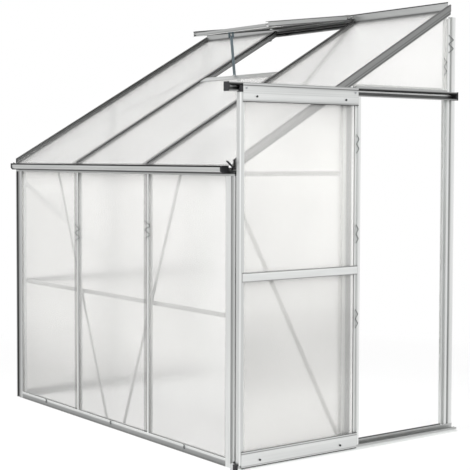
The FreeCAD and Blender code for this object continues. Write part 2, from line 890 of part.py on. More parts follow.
def zigzag(height, reach, wire):
    """Outline of a bent wire clip as (across, up) points."""
    line = [(0, 0), (reach, height / 4), (0, height / 2), (reach, height * 3 / 4), (0, height)]
    out = [(u - wire, v) for u, v in line]
    back = [(u + wire, v) for u, v in reversed(line)]
    return out + back


def clips():
    """Wire clips between the ribs and the outer face of the sheets."""
    y = front_y + sheet_cover - clip_wire - fit_gap
    start = rib_half + bar_lip + clip_wire
    outline = zigzag(clip_height, clip_reach, clip_wire)
    group = []
    places = [
        (-mid_x, 1, front_clip_middle), (mid_x, -1, front_clip_upper),
        (-mid_x, -1, front_clip_lower), (mid_x, 1, front_clip_lower),
    ]
    for x, side, z in places:
        points = [(x + side * (start + u), y, z + v) for u, v in outline]
        group.append(push(points, (0, clip_wire, 0)))
    x = side_x - sheet_cover + fit_gap
    for z in (gable_clip_upper, gable_clip_lower):
        points = [(-x, mid_post_y + start + u, z + v) for u, v in outline]
        group.append(push(points, (-clip_wire, 0, 0)))
    y = wall_post_face - clip_reach - 2 * clip_wire
    for side in (-1, 1):
        points = [(side * x, y + u, head_rail_z + head_clip_rise + v) for u, v in outline]
        group.append(push(points, (side * clip_wire, 0, 0)))
    save("glazing_clips", *group)


def bolts():
    """All bolts of the frame."""
    save("frame_bolts", *[bolt(*place) for place in bolt_places()])


def door_track():
    """Top track: a shelf for the wheels and a slot towards the door."""
    x0 = side_x
    x1 = side_x + track_depth
    z0 = track_bottom
    z1 = z0 + track_height
    s = track_shelf
    t = wall
    outline = [
        (x0, z0), (x1, z0), (x1, z0 + track_lower_lip), (x1 - t, z0 + track_lower_lip),
        (x1 - t, z0 + s), (x0 + t, z0 + s), (x0 + t, z1 - t), (x1 - t, z1 - t),
        (x1 - t, z1 - track_upper_lip), (x1, z1 - track_upper_lip), (x1, z1), (x0, z1),
    ]
    save("door_top_track", along_y(outline, track_front_y, track_rear_y))


def sill_track():
    """Bottom track outside the gable rail: two lips that the door's shoes run between."""
    floor = sill_track_floor
    top = floor + sill_track_lip
    gap = guide_width / 2 + guide_play
    outer = side_x + sill_track_depth
    m = door_middle_x
    t = wall
    outline = [
        (side_x, 0), (outer, 0), (outer, floor), (m + gap + t, floor), (m + gap + t, top),
        (m + gap, top), (m + gap, floor), (m - gap, floor), (m - gap, top), (m - gap - t, top),
        (m - gap - t, floor), (side_x + t, floor), (side_x + t, base_height), (side_x, base_height),
    ]
    hollow = [(side_x + t, t), (outer - t, t), (outer - t, floor - t), (side_x + t, floor - t)]
    start = door_front_y - sill_track_front_gap
    track = along_y(outline, start, wall_y).cut(along_y(hollow, start, wall_y))
    save("door_bottom_track", track)


def track_caps():
    """Plastic caps on both ends of the top track and on the front end of the bottom track."""
    x0 = side_x
    x1 = side_x + track_depth
    z0 = track_bottom
    z1 = z0 + track_height
    t = wall
    caps = []
    for y, out in ((track_front_y, -1), (track_rear_y, 1)):
        face = box(x0, x1 + t / 2, y, y + out * track_cap, z0 - t / 2, z1 + t / 2)
        plug = box(x0 + t + fit_gap, x1 - t - fit_gap, y, y - out * track_plug,
                   z0 + track_shelf + fit_gap, z1 - t - fit_gap)
        caps.append(face.fuse(plug).removeSplitter())
    y = door_front_y - sill_track_front_gap
    caps.append(box(x0, x0 + sill_track_depth, y - sill_cap_length, y, 0, sill_cap_height))
    save("track_end_caps", *caps)


def door_stiles():
    """Two hollow stiles with lips that hold the edges of the door's sheets."""
    middle = door_depth / 2
    pocket = sheet / 2 + fit_gap
    t = wall
    outline = [
        (0, 0), (stile_box, 0), (stile_box, middle - pocket - t),
        (stile_box + stile_lip, middle - pocket - t), (stile_box + stile_lip, middle - pocket),
        (stile_box + t, middle - pocket), (stile_box + t, middle + pocket),
        (stile_box + stile_lip, middle + pocket), (stile_box + stile_lip, middle + pocket + t),
        (stile_box, middle + pocket + t), (stile_box, door_depth), (0, door_depth),
    ]
    hollow = [(t, t), (stile_box - t, t), (stile_box - t, door_depth - t), (t, door_depth - t)]
    for name, y, side in (("front", door_front_y, 1), ("rear", door_rear_y, -1)):
        body = along_z([(door_x - w, y + side * u) for u, w in outline], door_bottom, stile_top)
        void = along_z([(door_x - w, y + side * u) for u, w in hollow], door_bottom, stile_top)
        save("door_stile_" + name, body.cut(void))


def ribbed_plate(bottom, top, ribs):
    """Flat plate section on the stiles' outer face, with a raised rib at each given height."""
    points = [(door_x, bottom)]
    for z in ribs:
        points += [(plate_x, z), (plate_out_x, z), (plate_out_x, z + plate_rib), (plate_x, z + plate_rib)]
    points += [(door_x, top)]
    if ribs[0] == bottom:
        points = [points[0]] + points[2:]
    if ribs[-1] + plate_rib == top:
        points = points[:-2] + points[-1:]
    return points


def plate_bolt_places():
    """Bolts of the door's top and bottom plates, as (y, z)."""
    low = [(y, plate_bolt_low_z) for y in guide_ys]
    front = door_front_y + plate_bolt_top_inset
    rear = door_rear_y - plate_bolt_top_inset
    return low + [(front, plate_bolt_top_z), (rear, plate_bolt_top_z)]


def door_plates():
    """Top plate, hollow middle rail and bottom plate."""
    top = top_plate_top
    low = top - top_plate_height
    outline = ribbed_plate(low, top, (low, low + 4 * plate_rib, top - plate_rib))
    plate = along_y(outline, plate_front_y, plate_rear_y)
    for y in roller_ys:
        plate = plate.cut(rod(axle_radius + axle_fit, (door_x, y, roller_z), (plate_out_x, y, roller_z)))
    low = bottom_plate_bottom
    top = low + bottom_plate_height
    outline = ribbed_plate(low, top, (top - 4 * plate_rib, top - plate_rib))
    bottom = along_y(outline, plate_front_y - plate_rib, plate_rear_y + plate_rib)
    for y, z in plate_bolt_places():
        hole = prism(V(door_x, y, z), V(1, 0, 0), bolt_hole, plate_out_x - door_x, shank_sides)
        plate = plate.cut(hole)
        bottom = bottom.cut(hole)
    save("door_top_plate", plate)
    save("door_bottom_plate", bottom)

    z = mid_rail_bottom
    h = mid_rail_height
    inner = door_middle_x + sheet / 2 + 2 * fit_gap + wall
    t = wall
    outline = [(inner, z), (inner, z + h), (plate_out_x, z + h), (plate_out_x, z + h - plate_rib),
               (plate_x, z + h - plate_rib), (plate_x, z + plate_rib), (plate_out_x, z + plate_rib),
               (plate_out_x, z)]
    hollow = [(inner + t, z + t), (inner + t, z + h - t), (door_x, z + h - t), (door_x, z + t)]
    y0 = door_front_y + stile_box + fit_gap
    y1 = door_rear_y - stile_box - fit_gap
    save("door_mid_rail", along_y(outline, y0, y1).cut(along_y(hollow, y0, y1)))


def door_sheets():
    """Two twin-wall sheets that meet behind the middle rail."""
    x = door_middle_x - sheet / 2
    y0 = door_front_y + stile_box + wall + sheet_gap
    y1 = door_rear_y - stile_box - wall - sheet_gap
    middle = mid_rail_bottom + mid_rail_height / 2
    low = door_bottom + door_sheet_end
    high = stile_top - door_sheet_end
    save("door_sheet_lower", box(x, x + sheet, y0, y1, low, middle - sheet_gap))
    save("door_sheet_upper", box(x, x + sheet, y0, y1, middle + sheet_gap, high))


def door_end_stop():
    """Plastic stop at the front end of the top plate, with a foot on top of the stile."""
    y1 = plate_front_y - fit_gap
    y0 = y1 - stop_width
    x_lip = side_x + track_depth + sheet_gap
    z = stile_top
    foot_top = track_bottom - 2 * fit_gap
    stop = box(x_lip, plate_out_x, y0, y1, foot_top, foot_top + stop_height)
    foot = box(door_x - door_depth + wall, plate_out_x, y0, y1, z, foot_top)
    save("door_end_stop", stop.fuse(foot).removeSplitter())


def door_guides():
    """Two shoes bolted behind the bottom plate, each with a tongue between the track's lips."""
    half = guide_width / 2
    m = door_middle_x
    low = sill_track_floor + guide_floor_gap
    bridge = sill_track_floor + sill_track_lip + guide_play
    back = door_x - bolt_head_height - wall
    outline = [
        (m - half, low), (m + half, low), (m + half, bridge), (door_x, bridge), (door_x, guide_height),
        (back, guide_height), (back, door_bottom + half), (m - half, door_bottom + half),
    ]
    shoes = []
    for y in guide_ys:
        shoe = along_y(outline, y - guide_length / 2, y + guide_length / 2)
        room = prism(V(back, y, plate_bolt_low_z), V(1, 0, 0), bolt_hole, door_x - back, shank_sides)
        shoes.append(shoe.cut(room))
    save("door_guides", *shoes)


def door_bolts():
    """Bolts of the door's plates: heads outside, nuts behind the plate or in front of the sheet."""
    group = []
    for y, z in plate_bolt_places():
        grip = plate_thickness
        if z == plate_bolt_low_z:
            grip += bolt_head_height + wall
        out = V(1, 0, 0)
        nut = prism(V(plate_x - grip - wall, y, z), out, bolt_head, wall, head_sides)
        head = prism(V(plate_x, y, z), out, bolt_head, bolt_head_height, head_sides)
        shank = prism(V(plate_x - grip - wall, y, z), out, bolt_radius, grip + 2 * wall, shank_sides)
        group.append(head.fuse(shank).fuse(nut).removeSplitter())
    save("door_bolts", *group)


def door_rollers():
    """Two wheels with a stepped hub in the top track, on bolts through the door's top plate."""
    xa = side_x + wall + roller_back_gap
    xb = xa + roller_width
    bore = axle_radius + fit_gap
    r = roller_radius
    hub = roller_hub_radius
    step = xa + roller_hub_width
    section = [(xa, bore), (xa, hub), (step, hub), (step, r), (xb, r), (xb, bore)]
    axles = []
    for y, name in zip(roller_ys, ("front", "rear")):
        ring = [V(x, y, roller_z + radius) for x, radius in section]
        face = Part.Face(Part.makePolygon(ring + [ring[0]]))
        save("roller_" + name, face.revolve(V(xa, y, roller_z), V(1, 0, 0), 360))
        axle = rod(axle_radius, (xa - wall / 2, y, roller_z), (plate_x + wall, y, roller_z))
        collar = prism(V(xb + fit_gap, y, roller_z), V(1, 0, 0), axle_collar, axle_collar_length, shank_sides)
        head = prism(V(plate_x, y, roller_z), V(1, 0, 0), bolt_head, bolt_head_height, head_sides)
        axles.append(axle.fuse(collar).fuse(head).removeSplitter())
    save("roller_axles", *axles)


def on_window(shape):
    """Turn a piece modelled flat about the hinge line and put it at the window's rest slope."""
    shape.rotate(V(0, 0, 0), V(1, 0, 0), window_slope)
    shape.translate(V(0, hinge_y, hinge_z))
    return shape


def sash_rail(outer, inward, deep, tall=True):
    """Section of a sash rail as (along, up): outer wall, sheet pocket, bottom lip, and top lip if tall."""
    t = wall
    p = sheet / 2 + fit_gap
    r = window_rail
    upper = [(0, p + t), (r, p + t)]
    if tall:
        upper = [(0, deep), (r, deep), (r, deep - t), (t, deep - t), (t, p + t), (r, p + t)]
    points = [(0, -deep)] + upper + [
        (r, p), (t, p), (t, -p), (r, -p), (r, -p - t), (t, -p - t), (t, -deep + t), (r, -deep + t),
        (r, -deep),
    ]
    return [(outer + inward * u, z) for u, z in points]


def window():
    """Roof window, modelled flat with the hinge line as X and the sash towards -Y."""
    half = window_width / 2
    deep = window_thickness / 2
    end = -window_length + window_drip
    head = -window_head
    hinge_rail = along_x(sash_rail(head, -1, deep), -half, half)
    neck = box(-half, half, head, 0, -hinge_neck / 2, hinge_neck / 2)
    bead = rod(hinge_rod, (-half, 0, 0), (half, 0, 0))
    save("window_hinge_rail", on_window(hinge_rail.fuse(neck).fuse(bead).removeSplitter()))

    between = half - window_rail - fit_gap
    bottom = along_x(sash_rail(end, 1, deep, False), -between, between)
    drip = box(-half, half, -window_length, end, -deep, -deep + wall)
    save("window_bottom_rail", on_window(bottom.fuse(drip).removeSplitter()))

    y0 = end + fit_gap
    y1 = head - window_rail - fit_gap
    sides = []
    for side in (-1, 1):
        section = sash_rail(side * half, -side, deep - wall / 2)
        sides.append(on_window(along_y(section, y0, y1)))
    save("window_side_rails", *sides)

    inner = half - wall - sheet_gap
    pane = box(-inner, inner, end + wall + sheet_gap, head - wall - sheet_gap, -sheet / 2, sheet / 2)
    save("window_sheet", on_window(pane))


def stay_bracket():
    """Folded bracket under the sash's bottom rail, with two ears and the stay's pivot pin."""
    deep = window_thickness / 2
    y = -stay_reach
    z = -stay_drop
    r = bracket_ear
    inner = stay_eye_half + bracket_gap
    outer = inner + bracket_plate
    body = box(-outer, outer, y - r, y + r, -deep - bracket_plate, -deep)
    for side in (-1, 1):
        body = body.fuse(box(side * inner, side * outer, y - r, y + r, z - r, -deep))
    end = outer + bracket_plate
    body = body.fuse(prism(V(-end, y, z), V(1, 0, 0), stay_pin, 2 * end, shank_sides))
    save("stay_bracket", on_window(body.removeSplitter()))


def stay():
    """Flat steel stay from the bracket's pin to the peg, with an eye, a slot and a handle."""
    y, z = window_point(-stay_reach, -stay_drop)
    pivot = V(0, y, z)
    peg = V(peg_x, peg_y, peg_z)
    run = peg - pivot
    run.normalize()
    normal = V(1, 0, 0).cross(run)
    normal.normalize()
    shift = normal * (-stay_thickness / 2)
    start = pivot + run * (stay_pin + stay_play + wall / 2)
    tail = peg + run * stay_tail
    arm = strip(tuple(start + shift), tuple(tail + shift), tuple(normal), stay_width, stay_thickness)
    eye = rod(stay_eye, (-stay_eye_half, y, z), (stay_eye_half, y, z))
    bore = rod(stay_pin + stay_play, (-stay_width, y, z), (stay_width, y, z))
    arm = arm.fuse(eye).cut(bore)
    first = peg - run * stay_slot_above
    last = peg + run * stay_slot_below
    through = normal * (-stay_thickness)
    slot = strip(tuple(first + through), tuple(last + through), tuple(normal), stay_slot,
                 2 * stay_thickness)
    arm = arm.cut(slot)
    knee = tail - run * stay_handle
    tip = knee + V(0, stay_handle_back, -stay_handle_drop)
    handle = rod(stay_handle, tuple(knee), tuple(tip))
    save("window_stay", arm.fuse(handle).removeSplitter())


def stay_peg():
    """Small plate on the inner leg of the sill, with the peg that the stay is hooked on."""
    half = peg_plate_width / 2
    y = sill_y
    plate = box(peg_x - half, peg_x + half, y, y + wall, peg_z - peg_plate_drop, peg_z + peg_plate_rise)
    peg = rod(peg_radius, (peg_x, y, peg_z), (peg_x, peg_y + peg_end, peg_z))
    save("stay_peg_plate", plate.fuse(peg).removeSplitter())


os.makedirs("parts", exist_ok=True)
base_rails()
posts()
eave_beam()
gutter()
foot_caps()
ridge()
rafters()
window_sill()
head_rails()
girts()
braces()
front_sheets()
gable_sheets()
roof_sheets()
clips()
bolts()
door_track()
sill_track()
track_caps()
door_stiles()
door_plates()
door_sheets()
door_end_stop()
door_guides()
door_bolts()
door_rollers()
window()
stay_bracket()
stay()
stay_peg()
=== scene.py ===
import math
from collections import namedtuple

import bpy
import numpy as np
from bpy.props import FloatProperty, FloatVectorProperty, PointerProperty
from mathutils import Euler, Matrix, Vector


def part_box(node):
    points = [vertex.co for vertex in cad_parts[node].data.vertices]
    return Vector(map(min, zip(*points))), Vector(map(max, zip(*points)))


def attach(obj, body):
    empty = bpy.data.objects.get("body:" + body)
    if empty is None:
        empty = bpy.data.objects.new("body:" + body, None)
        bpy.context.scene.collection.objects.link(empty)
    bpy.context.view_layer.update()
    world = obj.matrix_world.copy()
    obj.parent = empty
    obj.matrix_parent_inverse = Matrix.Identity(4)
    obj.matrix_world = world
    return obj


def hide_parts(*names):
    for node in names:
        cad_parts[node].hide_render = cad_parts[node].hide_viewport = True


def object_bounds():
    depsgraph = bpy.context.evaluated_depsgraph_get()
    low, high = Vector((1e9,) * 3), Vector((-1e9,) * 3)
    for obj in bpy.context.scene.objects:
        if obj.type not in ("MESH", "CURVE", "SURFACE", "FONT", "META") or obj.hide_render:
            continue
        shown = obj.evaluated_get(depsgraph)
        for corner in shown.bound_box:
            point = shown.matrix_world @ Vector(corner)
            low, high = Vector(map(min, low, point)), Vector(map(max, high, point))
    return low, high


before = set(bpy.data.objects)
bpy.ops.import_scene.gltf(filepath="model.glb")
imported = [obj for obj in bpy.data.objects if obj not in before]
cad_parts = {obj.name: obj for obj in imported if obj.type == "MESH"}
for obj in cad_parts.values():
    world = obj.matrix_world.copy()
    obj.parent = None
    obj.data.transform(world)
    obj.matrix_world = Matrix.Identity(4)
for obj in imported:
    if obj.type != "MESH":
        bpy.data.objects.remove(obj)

bl_info = {
    "name": "Lean-to Greenhouse",
    "version": (1, 0, 0),
    "blender": (4, 5, 0),
    "location": "View3D > Sidebar > Greenhouse",
    "description": "Twin-wall sheets, metal finishes and small fittings of a lean-to greenhouse",
    "category": "Add Mesh",
}

cad_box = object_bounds()

# Axes of a sheet, by number: across its ribs, along them, and through its thickness
ACROSS_X = (0, 2, 1)
ACROSS_Y = (1, 2, 0)
UP_THE_ROOF = (0, 1, 2)

# Turns that lay the grain along a bar
roof_pitch = math.radians(30)
window_pitch = math.radians(7.2)
upright = (0, -math.pi / 2, 0)
along_wall = (0, 0, 0)
along_gable = (0, 0, math.pi / 2)
up_roof = (0, -roof_pitch, math.pi / 2)
up_window = (0, -window_pitch, math.pi / 2)

# Directions across a bar or along a sheet
EAST = (1.0, 0.0, 0.0)
BACK = (0.0, 1.0, 0.0)
UP = (0.0, 0.0, 1.0)
OFF_ROOF = (0.0, -math.sin(roof_pitch), math.cos(roof_pitch))
OFF_WINDOW = (0.0, -math.sin(window_pitch), math.cos(window_pitch))

# Painted shade in the grooves of an extrusion: share of the seams' colour that ambient occlusion mixes in
# there
no_groove_shade = 0.0
faint_groove_shade = 0.05
soft_groove_shade = 0.1
clear_groove_shade = 0.25

white = (1.0, 1.0, 1.0, 1.0)
bare_metal = (0.42, 0.43, 0.43, 1.0)
smooth_angle = math.radians(30)

# Drawing lines on the metal, and the height of a fine relief
grain_length = 0.6
grain_width = 0.004
relief_depth = 0.0002

# Most values of a noise lie between these two
noise_span = (0.3, 0.7)

# Painted highlights, reflections and shade of a piece, in bands: stops of (millimetres from its
# lowest point in a direction, shade on a screen). They paint the studio's light and shadow on the
# faces: bright lines on lips and edges, dark shadow lines under lips and in gaps, and whole faces
# lighter or darker. Folded bands are the same to the left and to the right of the middle.
Bands = namedtuple("Bands", "direction stops folded", defaults=(False,))

# Posts
left_corner_shades = ((0, 178), (4, 160), (9, 128), (15, 100), (20, 120), (24, 156), (38, 160), (46, 184),
                      (56, 202), (74, 210))
right_corner_shades = ((0, 224), (43, 224), (49, 198), (53, 182), (58, 186), (66, 196), (69, 212),
                       (74, 212))
corner_side_shades = ((0, 214), (5, 210), (10, 200), (13, 202), (16, 204), (21, 158), (26, 152), (30, 184),
                      (38, 194))
bar_shades = ((0, 178), (6, 176), (14, 182), (17, 196), (19, 232), (27, 232), (29, 196), (34, 184),
              (44, 200))
jamb_shades = ((0, 246), (24, 240), (30, 190), (36, 176), (60, 196))
wall_post_shades = ((0, 236), (2, 236), (4, 216), (13, 214), (18, 230), (23, 240), (26, 234), (30, 200),
                    (37, 192), (43, 212), (48, 232), (55, 230), (59, 240), (63, 240))

# Rails along the walls
gutter_shades = ((0, 92), (3, 96), (4, 214), (8, 212), (9.5, 190), (20, 200), (22.5, 206), (23.5, 34),
                 (28, 34), (30, 120))
eave_shades = ((0, 182), (7, 192), (8.5, 96), (12, 90), (34, 150))
front_base_shades = ((0, 152), (3, 126), (7, 126), (10, 148), (18, 154), (22, 170), (24, 190), (26, 222),
                     (32, 224), (33.5, 255), (34, 255))
side_base_shades = ((0, 146), (17, 158), (34, 166))
girt_shades = ((0, 204), (20, 210))
gable_girt_shades = ((0, 140), (600, 170))
head_rail_shades = ((0, 180), (14, 200), (19, 180), (24, 184), (27, 219), (34, 222))
brace_shades = ((0, 208), (1200, 212))

# Roof and roof window
ridge_shades = ((0, 178), (5, 166), (7, 92), (9, 128), (12, 64), (22, 72), (24.5, 150), (28, 166),
                (31, 182), (51, 178), (54, 174), (55.5, 78), (60, 84))
verge_shades = ((0, 168), (2.5, 150), (4.5, 108), (9, 110), (10.5, 156), (13, 156), (14.5, 120), (19, 122),
                (21, 143), (34, 146), (36, 136), (38, 134), (39.5, 88), (41, 88))
left_verge_shades = ((0, 120), (10, 96), (14, 150), (22, 156), (26, 104), (34, 100), (38, 70), (41, 66))
rafter_shades = ((0, 110), (4, 112), (6, 136), (22, 138), (25, 92), (30, 92))
roof_brace_shades = ((0, 120), (600, 124))
sill_shades = ((0, 190), (8, 212), (20, 200), (34, 205))
window_hinge_shades = ((0, 140), (7, 132), (8, 90), (11, 96), (12, 160), (20, 168), (30, 180))
window_bottom_shades = ((0, 225), (2, 230), (4, 150), (12, 185), (18, 180), (22, 130))
window_side_shades = ((0, 96), (3, 110), (5, 138), (7, 196), (11, 184), (19, 188), (21, 160), (24, 110))

# Door and its tracks
front_stile_shades = ((0, 210), (2, 236), (7, 236), (9, 206), (28, 211))
rear_stile_shades = ((0, 205), (3, 238), (9, 238), (12, 216), (17, 214), (20, 236), (25, 238), (28, 217))
top_plate_shades = ((0, 92), (2.8, 100), (4.4, 205), (5.5, 180), (8, 180), (10, 214), (24, 216), (33, 217),
                    (35, 202), (41, 213), (44, 202), (47, 214), (57, 210), (60, 198), (63, 198), (64.5, 124),
                    (67.5, 126), (69, 196), (74, 206))
mid_rail_shades = ((0, 150), (2, 160), (4, 228), (27, 230), (30, 238), (32.5, 236), (34, 150), (37, 150))
bottom_plate_shades = ((0, 30), (2.6, 36), (4.2, 226), (6.5, 190), (9.5, 188), (11, 220), (30, 222),
                       (56, 226), (58.5, 158), (60.5, 158), (62, 228), (64.5, 226), (66, 120), (69, 126))
top_track_shades = ((0, 160), (3, 146), (4.5, 76), (8, 76), (9.5, 104), (14, 92), (18, 104), (19, 250),
                    (24.5, 250), (25.5, 56), (30, 58), (32, 120), (36, 184))
threshold_shades = ((0, 246), (9, 244), (10.5, 188), (13, 204), (14.5, 176), (18, 186), (20, 204),
                    (24, 190), (34, 198))

# Painted light and shade along the sheets, where 255 leaves the tint as it is: the walls darker
# towards the bottom for the shaded floor behind them, the roof with a painted shadow under the
# ridge, the lower door with a painted dark band for the shade behind it, and the upper door lit
# above its tint
wall_painted_shade = ((0, 229), (150, 230), (420, 250), (1175, 254))
gable_painted_shade = ((0, 255), (1900, 255))
roof_painted_shade = ((0, 230), (400, 233), (1150, 240), (1185, 232), (1206, 110), (1218, 90))
window_painted_shade = ((0, 238), (520, 241))
lower_door_painted_shade = ((0, 250), (230, 251), (330, 243), (470, 240), (560, 246), (620, 253), (750, 253))
upper_door_painted_shade = ((0, 258), (400, 262), (600, 256), (680, 248), (732, 246))


class SheetSettings(bpy.types.PropertyGroup):
    """Sizes and colours of the twin-wall sheets."""

    rib_pitch: FloatProperty(
        name="Rib pitch", description="Distance between the ribs inside a sheet",
        default=0.006, min=0.002, max=0.05, unit="LENGTH",
    )
    relief: FloatProperty(
        name="Relief", description="Depth by which the skins sink between two ribs",
        default=0.00026, min=0.0, max=0.001, unit="LENGTH",
    )
    tint: FloatVectorProperty(
        name="Tint", description="Colour of the light that passes a sheet",
        default=(0.885, 0.882, 0.872), size=3, min=0.0, max=1.0, subtype="COLOR",
    )
    rib_tint: FloatVectorProperty(
        name="Rib tint", description="Colour of a sheet where a rib stands",
        default=(0.80, 0.80, 0.79), size=3, min=0.0, max=1.0, subtype="COLOR",
    )
    clearness: FloatProperty(
        name="Clearness", description="Share of the light that passes a skin and isn't scattered back",
        default=0.84, min=0.0, max=1.0, subtype="FACTOR",
    )
    blur: FloatProperty(
        name="Blur", description="Roughness of the skins",
        default=0.15, min=0.0, max=1.0, subtype="FACTOR",
    )
    seal: FloatProperty(
        name="Seal", description="Width of the seals between roof sheets and bars",
        default=0.048, min=0.0, max=0.1, unit="LENGTH",
    )
    seal_shade: FloatProperty(
        name="Seal shade", description="Share of the light that passes a roof seal",
        default=0.42, min=0.0, max=1.0, subtype="FACTOR",
    )
    flange: FloatProperty(
        name="Flange", description="Width of the post's flange behind the edges of the front sheets",
        default=0.019, min=0.0, max=0.1, unit="LENGTH",
    )
    flange_shade: FloatProperty(
        name="Flange shade", description="Share of the light that passes a front sheet over a flange",
        default=0.66, min=0.0, max=1.0, subtype="FACTOR",
    )


class MetalSettings(bpy.types.PropertyGroup):
    """Colours of the metal and plastic finishes."""

    tint: FloatVectorProperty(
        name="Tint", description="Hue of the mill-finished aluminium",
        default=(0.985, 1.0, 0.99), size=3, min=0.0, max=1.0, subtype="COLOR",
    )
    gain: FloatProperty(
        name="Gain", description="How much brighter a metal shows under the studio light than its colour",
        default=1.1, min=0.5, max=2.0, subtype="FACTOR",
    )
    # Painted shade: the dark that ambient occlusion mixes into grooves and seams
    seam: FloatVectorProperty(
        name="Seams", description="Colour of grooves and seams",
        default=(0.05, 0.053, 0.052), size=3, min=0.0, max=1.0, subtype="COLOR",
    )
    steel: FloatVectorProperty(
        name="Steel", description="Colour of zinc-plated steel",
        default=(0.40, 0.42, 0.43), size=3, min=0.0, max=1.0, subtype="COLOR",
    )
    bolts: FloatVectorProperty(
        name="Door bolts", description="Colour of the bolts on the door's plates",
        default=(0.07, 0.075, 0.075), size=3, min=0.0, max=1.0, subtype="COLOR",
    )
    stay: FloatVectorProperty(
        name="Stay", description="Colour of the roof window's stay",
        default=(0.17, 0.21, 0.23), size=3, min=0.0, max=1.0, subtype="COLOR",
    )
    wire: FloatVectorProperty(
        name="Wire", description="Colour of the wire clips",
        default=(0.10, 0.11, 0.11), size=3, min=0.0, max=1.0, subtype="COLOR",
    )
    plastic: FloatVectorProperty(
        name="Plastic", description="Colour of the moulded plastic pieces",
        default=(0.012, 0.012, 0.013), size=3, min=0.0, max=1.0, subtype="COLOR",
    )
    # Reach of the ambient occlusion behind the painted shade in grooves
    groove_shade_reach: FloatProperty(
        name="Seam reach", description="How far into a groove the dark of a seam begins",
        default=0.008, min=0.001, max=0.05, unit="LENGTH",
    )
    moulded_edge: FloatProperty(
        name="Moulded edge", description="Width of the rounded edges of the small plastic pieces",
        default=0.0004, min=0.0, max=0.002, unit="LENGTH",
    )
    gutter_cap_edge: FloatProperty(
        name="Gutter cap edge", description="Width of the rounded edges of the gutter's end caps",
        default=0.004, min=0.0, max=0.01, unit="LENGTH",
    )


class ClipSettings(bpy.types.PropertyGroup):
    """Sizes of the wire clips."""

    height: FloatProperty(
        name="Height", description="Height of a wire clip", default=0.08, min=0.01, max=0.3, unit="LENGTH",
    )
    wire: FloatProperty(
        name="Wire", description="Radius of the wire", default=0.0015, min=0.0003, max=0.005, unit="LENGTH",
    )
    base_clip: FloatProperty(
        name="Base clip", description="Height of the clips on the front base rail",
        default=0.018, min=0.005, max=0.1, unit="LENGTH",
    )
    base_clip_z: FloatProperty(
        name="Base clip place", description="Where those clips begin above the ground",
        default=0.016, min=0.0, max=0.1, unit="LENGTH",
    )
    bar: FloatProperty(
        name="Bar", description="Width of the bars that the clips reach over",
        default=0.044, min=0.01, max=0.2, unit="LENGTH",
    )


class StageSettings(bpy.types.PropertyGroup):
    """Floor, lamps and camera."""

    eye: FloatVectorProperty(
        name="Camera place", description="Where the camera stands",
        default=(4.9535, -3.6115, 1.2587), size=3, subtype="TRANSLATION", unit="LENGTH",
    )
    aim: FloatVectorProperty(
        name="Camera turn", description="How the camera is turned",
        default=(1.52503, -0.0027976, 0.930486), size=3, subtype="EULER", unit="ROTATION",
    )
    lens: FloatProperty(
        name="Lens", description="Focal length on a 36 mm sensor, in millimetres",
        default=95.37, min=10.0, max=400.0,
    )
    rise: FloatProperty(
        name="Shift", description="Upward shift of the lens, as a share of the frame's width",
        default=-0.04255, min=-0.2, max=0.2,
    )
    floor_size: FloatProperty(
        name="Floor size", description="Side of the floor",
        default=60.0, min=5.0, max=200.0, unit="LENGTH",
    )
    whiteness: FloatProperty(
        name="Floor whiteness", description="Share of plain white in the floor close to the object",
        default=0.75, min=0.0, max=1.0, subtype="FACTOR",
    )
    sky: FloatProperty(
        name="Sky", description="Strength of the even light from all sides",
        default=0.55, min=0.0, max=2.0,
    )
    lamp: FloatProperty(
        name="Lamp", description="Power of the large soft lamp",
        default=260.0, min=0.0, max=5000.0, unit="POWER",
    )
    fade_start: FloatProperty(
        name="Fade start", description="Distance from the middle where the floor begins to turn white",
        default=1.5, min=0.0, max=50.0, unit="LENGTH",
    )
    fade_end: FloatProperty(
        name="Fade end", description="Distance from the middle from which on the floor is white",
        default=3.0, min=0.0, max=50.0, unit="LENGTH",
    )


def add_piece(name, points, faces, body, slot, material):
    """Mesh object from an array of points and a list of faces, riding on a body."""
    mesh = bpy.data.meshes.new(name)
    mesh.from_pydata(points.tolist(), [], faces)
    mesh.polygons.foreach_set("use_smooth", [True] * len(mesh.polygons))
    mesh.set_sharp_from_angle(angle=smooth_angle)
    mesh.materials.append(material)
    mesh.update()
    piece = bpy.data.objects.new(name, mesh)
    bpy.context.scene.collection.objects.link(piece)
    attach(piece, body)
    return piece


def node_points(node):
    """All vertices of a CAD node as an array, in metres."""
    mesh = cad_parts[node].data
    points = np.zeros(len(mesh.vertices) * 3)
    mesh.vertices.foreach_get("co", points)
    return points.reshape(-1, 3)


def slab_corners(points, axes):
    """The eight corners of a flat slab as [across][along][through].

    At either end of the across axis the four vertices are split by the along axis into a lower
    and an upper pair, and each pair is ordered by the through axis.
    """
    across, along, through = axes
    same_place = 1e-5
    corners = np.zeros((2, 2, 2, 3))
    for i, value in enumerate((points[:, across].min(), points[:, across].max())):
        end = points[np.abs(points[:, across] - value) < same_place]
        end = np.unique(end.round(6), axis=0)
        order = np.argsort(end[:, along])
        low = end[order[:2]]
        high = end[order[-2:]]
        corners[i, 0] = low[np.argsort(low[:, through])]
        corners[i, 1] = high[np.argsort(high[:, through])]
    return corners


